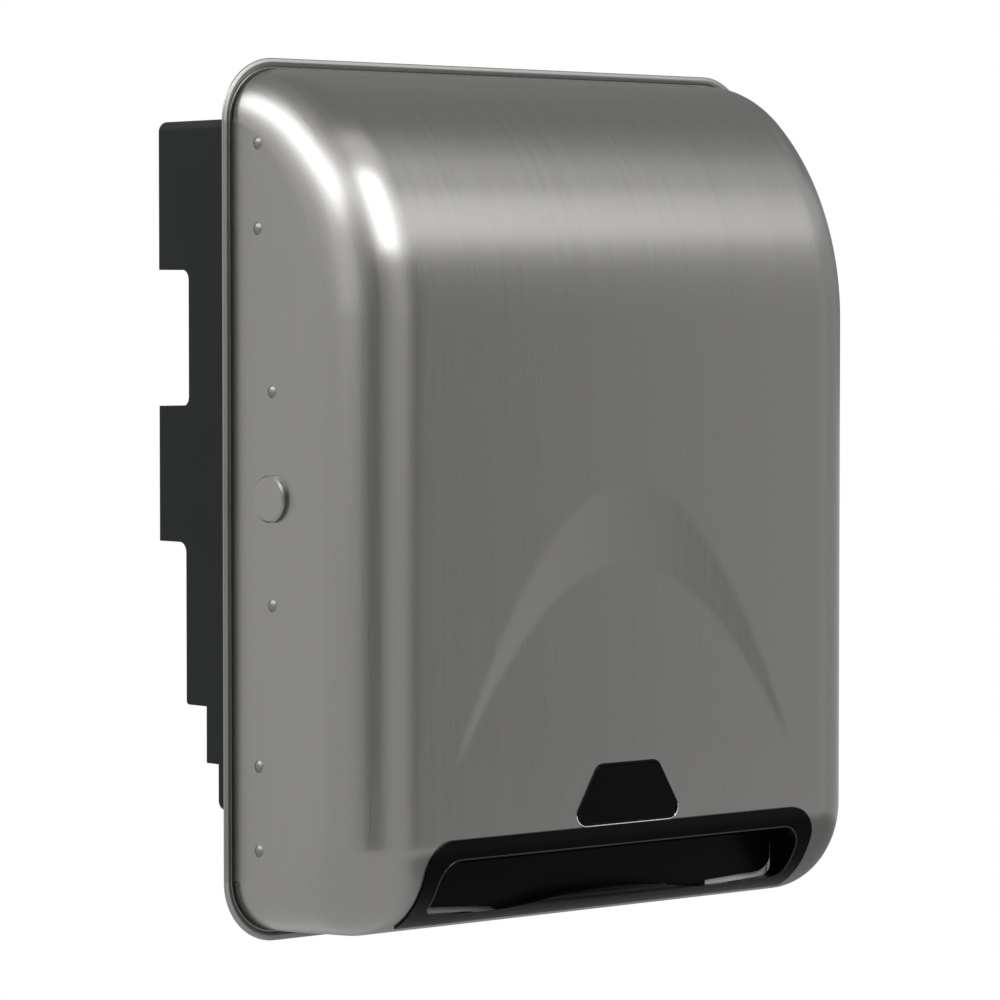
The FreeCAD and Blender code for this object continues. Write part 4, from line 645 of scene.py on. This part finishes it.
def pressedCover(c, steps, material):
    grid, uv, hole, cornerTop, cornerBottom = coverGrid(c, steps)
    rows, columns = grid.shape[:2]
    normal = gridNormals(grid)
    if normal[rows // 3, columns // 2, 1] > 0:  # the middle of the front has to face the viewer
        normal = -normal
    inner = grid - normal * c["sheet"]
    count = rows * columns
    outerIndex = np.arange(count).reshape(rows, columns)
    keep = np.ones((rows - 1, columns - 1), bool)
    keep[hole[0]:hole[1], hole[2]:hole[3]] = False
    outerFaces = gridFaces(outerIndex)[keep.reshape(-1)]
    innerFaces = outerFaces[:, ::-1] + count
    holeLoop = roundTrip(outerIndex, *hole)
    after = np.roll(holeLoop, -1)
    holeFaces = np.stack([holeLoop, after, after + count, holeLoop + count], axis=-1)

    loop = roundTrip(outerIndex, 0, rows - 1, 0, columns - 1)
    base = grid.reshape(-1, 3)[loop]
    edgeX, edgeZ = rimEdge(c, base, np.where(base[:, 2] > 0, cornerTop, cornerBottom))
    shares, heights, run = rimSection(c, steps)
    rings = np.stack([
        base[:, 0] + (edgeX - base[:, 0]) * shares[:, None],
        np.repeat(heights[:, None], len(base), axis=1),
        base[:, 2] + (edgeZ - base[:, 2]) * shares[:, None],
    ], axis=-1)
    ringIndex = 2 * count + np.arange(len(shares) * len(loop)).reshape(len(shares), -1)
    chain = np.concatenate([loop[None], ringIndex, loop[None] + count])
    bandFaces = gridFaces(np.concatenate([chain, chain[:, :1]], axis=1))
    points = np.concatenate([grid.reshape(-1, 3), inner.reshape(-1, 3), rings.reshape(-1, 3)]) * millimetre
    faces = np.concatenate([outerFaces, innerFaces, holeFaces, bandFaces])
    piece = meshPiece("pressed_cover", points, faces, material, "cover")
    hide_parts("cover_shell")

    # the grain runs on from the body: each ring lies as far out on the map as it does along the section
    flatUv = uv.reshape(-1, 2)
    outward = np.repeat([(0, -1), (1, 0), (0, 1), (-1, 0)], [columns - 1, rows - 1] * 2, axis=0)
    ringUv = flatUv[loop][None] + outward[None] * run[:, None, None]
    uvOfPoint = np.concatenate([flatUv, flatUv, ringUv.reshape(-1, 2)]) * millimetre
    corners = np.zeros(len(piece.data.loops), np.int32)
    piece.data.loops.foreach_get("vertex_index", corners)
    layer = piece.data.uv_layers.new(name="grain")
    layer.data.foreach_set("uv", uvOfPoint[corners].astype(np.float32).reshape(-1))
    mendMesh(piece.data, mergeGap)
    return piece


coverPiece = pressedCover(cover, coverSteps, materials["brushedStainless"])
print("scene: pressed cover with", len(coverPiece.data.polygons), "faces")


# Edges that catch the light

def softenedCopy(nodeName, name, body, material, width):
    # a merged copy of a plain solid, with its edges rounded by a width in mm
    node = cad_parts[nodeName]
    mesh = node.data.copy()
    mesh.transform(node.matrix_world)
    mendMesh(mesh, mergeGap, flatAngle=math.radians(0.6))
    smoothShaded(mesh, material)
    sharpAngle = math.radians(32)
    mesh.set_sharp_from_angle(angle=sharpAngle)
    piece = addObject(name, mesh)
    bevel = piece.modifiers.new("edges", "BEVEL")
    bevel.width = width * millimetre
    bevel.segments = 2
    bevel.limit_method = "ANGLE"
    bevel.angle_limit = sharpAngle
    bevel.harden_normals = True
    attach(piece, body)
    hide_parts(nodeName)


softenedCopy("mouth_bezel", "bezel_moulding", "cover", materials["glossBlackAbs"], width=0.45)


window = {
    "topHalf": 18.6,           # mm
    "bottomHalf": 34.6,
    "top": -126.3,
    "bottom": -153.0,
    "corner": 4.5,
    "surroundGrow": 0.5,       # black bead round the lens
    "surroundRadius": 0.8,
    "lipGrow": 1.5,            # turned edge of the sheet under the bead
    "lipRadius": 0.5,
    "cornerPoints": 9,
    "lipSkips": 2,             # points of the two lower corners that the lip leaves out at each end
}


def windowOutline(w, grow):
    # points round the lens and its outward directions, with rounded corners
    corners = np.array([
        (-w["bottomHalf"], w["bottom"]), (w["bottomHalf"], w["bottom"]),
        (w["topHalf"], w["top"]), (-w["topHalf"], w["top"]),
    ])
    after, before = np.roll(corners, -1, axis=0), np.roll(corners, 1, axis=0)
    ahead = (after - corners) / np.linalg.norm(after - corners, axis=1, keepdims=True)
    behind = (before - corners) / np.linalg.norm(before - corners, axis=1, keepdims=True)
    middle = (ahead + behind) / np.linalg.norm(ahead + behind, axis=1, keepdims=True)
    half = np.arccos(np.clip((ahead * behind).sum(axis=1), -1, 1)) / 2
    centre = corners + middle * (w["corner"] / np.sin(half))[:, None]
    start = np.arctan2(-middle[:, 1], -middle[:, 0]) - (math.pi / 2 - half)
    sweep = (math.pi - 2 * half)[:, None] * np.linspace(0, 1, w["cornerPoints"])[None]
    angle = (start[:, None] + sweep).reshape(-1)
    way = np.stack([np.cos(angle), np.sin(angle)], axis=1)
    return np.repeat(centre, w["cornerPoints"], axis=0) + way * (w["corner"] + grow), way


def tube(name, path, way, up, radius, material, closed, around=16, runOut=3):
    # a round bead along a path; way and up span its section, and an open one runs out over its last points
    angle = np.linspace(0, 2 * math.pi, around + 1)[:-1]
    fromEnd = np.minimum(np.arange(len(path)), np.arange(len(path))[::-1])
    share = np.ones(len(path)) if closed else np.sqrt(np.clip(fromEnd / runOut, 0, 1))
    section = way[:, None] * np.cos(angle)[None, :, None] + up[:, None] * np.sin(angle)[None, :, None]
    points = path[:, None] + section * radius * share[:, None, None]
    index = np.arange(len(path) * around).reshape(-1, around)
    if closed:
        index = np.concatenate([index, index[:1]], axis=0)
    index = np.concatenate([index, index[:, :1]], axis=1)
    piece = meshPiece(name, points.reshape(-1, 3) * millimetre, gridFaces(index), material, "cover")
    mendMesh(piece.data, emptyEdge)


def windowBead(w, grow, radius, name, material, closed):
    # half sunk in the sheet; an open one follows the lower edge alone
    outline, way = windowOutline(w, grow)
    if not closed:
        lower = slice(w["lipSkips"], 2 * w["cornerPoints"] - w["lipSkips"] + 1)
        outline, way = outline[lower], way[lower]
    count = len(outline)
    path = np.stack([outline[:, 0], np.full(count, cover["frontY"]), outline[:, 1]], axis=1)
    outward = np.stack([way[:, 0], np.zeros(count), way[:, 1]], axis=1)
    tube(name, path, outward, np.tile([0.0, -1.0, 0.0], (count, 1)), radius, material, closed)


mouth = {
    "half": 115.3,             # opening inside the bezel, mm
    "top": -164.1,
    "corner": 11.5,
    "low": -188.5,
    "proud": 1.0,              # bezel in front of the sheet
    "beadRadius": 0.4,
    "sidePoints": 14,
    "turnPoints": 9,
}


def mouthBead(m, c, material):
    # polished bead round the opening, on the curve of the chin
    turn = np.linspace(0, math.pi / 2, m["turnPoints"])
    side = np.linspace(m["low"], m["top"] - m["corner"], m["sidePoints"])[:-1]
    turnX = m["half"] - m["corner"] + m["corner"] * np.cos(turn)
    turnZ = m["top"] - m["corner"] + m["corner"] * np.sin(turn)
    x = np.concatenate([np.full(len(side), m["half"]), turnX])
    z = np.concatenate([side, turnZ])
    wayX = np.concatenate([np.ones(len(side)), np.cos(turn)])
    wayZ = np.concatenate([np.zeros(len(side)), np.sin(turn)])
    x, z = np.concatenate([x, -x[::-1]]), np.concatenate([z, z[::-1]])
    wayX, wayZ = np.concatenate([wayX, -wayX[::-1]]), np.concatenate([wayZ, wayZ[::-1]])
    under = math.radians(c["bottomDraft"])
    centreY = c["frontY"] + c["chinRadius"]
    chinTop = -c["halfHeight"] + (c["rimY"] - centreY) * math.tan(under) + c["chinRadius"] / math.cos(under)
    reach = c["chinRadius"] + m["proud"]
    down = np.clip(chinTop - z, 0, reach)
    y = centreY - np.sqrt(reach ** 2 - down ** 2)
    up = np.stack([np.zeros(len(x)), (y - centreY) / reach, -down / reach], axis=1)
    way = np.stack([wayX, np.zeros(len(x)), wayZ], axis=1)
    way = way - up * (way * up).sum(axis=1, keepdims=True)
    way = way / np.linalg.norm(way, axis=1, keepdims=True)
    tube("mouth_bead", np.stack([x, y, z], axis=1), way, up, m["beadRadius"], material, False)


windowBead(window, window["surroundGrow"], window["surroundRadius"], "window_surround",
           materials["glossBlackAbs"], True)
windowBead(window, window["lipGrow"], window["lipRadius"], "window_lip",
           materials["polishedStainless"], False)
mouthBead(mouth, cover, materials["polishedBlackAbs"])
print("scene: edges softened")


# Studio

studio = {
    "floorZ": -0.75,           # metres
    "floorHalf": 8.0,
    "floorColour": "#e4e4e2",
    "worldLevel": 0.4,
}
white = (1, 1, 1, 1)


def flatSheet(name, halfWidth, halfHeight, z, material):
    mesh = bpy.data.meshes.new(name)
    corners = [(-halfWidth, -halfHeight, z), (halfWidth, -halfHeight, z), (halfWidth, halfHeight, z),
               (-halfWidth, halfHeight, z)]
    mesh.from_pydata(corners, [], [(0, 1, 2, 3)])
    mesh.materials.append(material)
    return addObject(name, mesh)


def seenDirectly(tree):
    # 1 for the camera's rays and for those that metal and glass send on
    rays = addNode(tree, "ShaderNodeLightPath")
    mirrored = addNode(tree, "ShaderNodeMath", {
        0: rays.outputs["Is Glossy Ray"], 1: rays.outputs["Is Transmission Ray"],
    }, operation="MAXIMUM")
    return addNode(tree, "ShaderNodeMath", {
        0: rays.outputs["Is Camera Ray"], 1: mirrored.outputs[0],
    }, operation="MAXIMUM").outputs[0]


def studioFloor(s):
    material, tree = emptyMaterial("paleFloor")
    matt = addNode(tree, "ShaderNodeBsdfDiffuse", {"Color": linear(s["floorColour"])})
    glow = addNode(tree, "ShaderNodeEmission", {"Color": white, "Strength": 1.0})
    mixed = addNode(tree, "ShaderNodeMixShader", {
        0: seenDirectly(tree), 1: matt.outputs[0], 2: glow.outputs[0],
    })
    addNode(tree, "ShaderNodeOutputMaterial", {"Surface": mixed.outputs[0]})
    flatSheet("studio_floor", s["floorHalf"], s["floorHalf"], s["floorZ"], material)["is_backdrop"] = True


def studioWorld(s):
    world = bpy.data.worlds.new("studio")
    bpy.context.scene.world = world
    world.use_nodes = True
    tree = world.node_tree
    tree.nodes.clear()
    soft = addNode(tree, "ShaderNodeBackground", {"Color": white, "Strength": s["worldLevel"]})
    full = addNode(tree, "ShaderNodeBackground", {"Color": white, "Strength": 1.0})
    mixed = addNode(tree, "ShaderNodeMixShader", {
        0: seenDirectly(tree), 1: soft.outputs[0], 2: full.outputs[0],
    })
    addNode(tree, "ShaderNodeOutputWorld", {"Surface": mixed.outputs[0]})


cards = {
    # sheets round the object that only its reflections show: at, aim and size in metres, level of grey
    "ceilingCard": dict(at=(0.2, 0.95, 2.2), aim=(0.2, 0.95, 0), width=5.0, height=3.2, level=0.5),
    "behindRightCard": dict(at=(2.6, 2.2, 1.2), aim=(0, 0, 0.1), width=5.4, height=2.6, level=0.33),
    "behindCard": dict(at=(1.4, 2.4, -0.05), aim=(0, 0, 0), width=2.6, height=1.0, level=0.1),
    "frontRightCard": dict(at=(1.54, -2.9, 0.1), aim=(0, 0, 0), width=1.25, height=2.4, level=0.12),
    "rightFrontCard": dict(at=(2.44, -2.2, 0.1), aim=(0, 0, 0), width=1.05, height=2.4, level=1.15),
    "rightCard": dict(at=(3.3, -0.6, 0.1), aim=(0, 0, 0), width=2.6, height=2.4, level=0.4),
    "belowRightCard": dict(at=(1.5, 0.0, -0.7), aim=(1.5, 0.0, 1.0), width=2.4, height=3.0, level=0.4),
    "cameraCard": dict(at=(-2.3, -2.6, 0.6), aim=(0, 0, 0), width=1.6, height=3.2, level=0.1),
}


def studioCards(table):
    for name, look in table.items():
        material, tree = emptyMaterial(name)
        glow = addNode(tree, "ShaderNodeEmission", {"Color": white, "Strength": look["level"]})
        addNode(tree, "ShaderNodeOutputMaterial", {"Surface": glow.outputs[0]})
        card = flatSheet(name, look["width"] / 2, look["height"] / 2, 0, material)
        place(card, look["at"], Vector(look["aim"]) - Vector(look["at"]))
        card.visible_camera = False
        card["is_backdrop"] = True


lamps = {
    # at, aim, width and height in metres, power in watts
    "keyFront": dict(at=(-0.26, -1.95, 1.75), aim=(0, -0.05, 0.1), width=1.3, height=1.4, power=44),
    "keyLeft": dict(at=(-1.9, 0.4, 1.6), aim=(0, -0.05, 0.1), width=2.9, height=0.9, power=54),
    "bandBox": dict(at=(1.25, -1.55, 1.42), aim=(0, -0.05, 0.1), width=1.2, height=0.7, power=3.4),
    "topBox": dict(at=(0.3, -0.9, 2.1), aim=(0, -0.05, 0.1), width=1.8, height=1.0, power=5),
    "leftBox": dict(at=(-2.6, -0.6, 0.7), aim=(0, 0, 0), width=1.6, height=1.2, power=5),
    "backLeftBox": dict(at=(-2.2, 2.4, 0.4), aim=(0, 0, 0), width=2.4, height=2.4, power=2),
    "frontBox": dict(at=(0.1, -3.0, 0.8), aim=(0, 0, 0), width=1.0, height=1.6, power=2.5),
    "rightBox": dict(at=(3.0, -0.5, 0.3), aim=(0, 0, 0), width=2.2, height=2.2, power=5),
}


def studioLamps(table):
    for name, look in table.items():
        light = bpy.data.lights.new(name, "AREA")
        light.shape = "RECTANGLE"
        light.size, light.size_y = look["width"], look["height"]
        light.energy = look["power"]
        place(addObject(name, light), look["at"], Vector(look["aim"]) - Vector(look["at"]))


studioFloor(studio)
studioWorld(studio)
studioCards(cards)
studioLamps(lamps)
print("scene: studio ready")


# Camera, at the photograph's place

camera = {
    "at": (-1.46446, -1.70428, 0.09127),
    "forward": (0.65296, 0.75621, -0.04219),
    "lens": 164.365,           # mm
    "sensor": 36.0,
    "clip": (0.05, 50),        # metres
}
cameraData = bpy.data.cameras.new("photoCamera")
cameraData.sensor_width = camera["sensor"]
cameraData.lens = camera["lens"]
cameraData.clip_start, cameraData.clip_end = camera["clip"]
photoCamera = addObject("photoCamera", cameraData)
place(photoCamera, camera["at"], camera["forward"])
bpy.context.scene.camera = photoCamera
bpy.context.scene.view_settings.view_transform = "Standard"

shownLow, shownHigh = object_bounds()
for label, low, high in (("CAD", cadLow, cadHigh), ("shown", shownLow, shownHigh)):
    print("scene:", label, "box", [round(v, 4) for v in (*low, *high)])
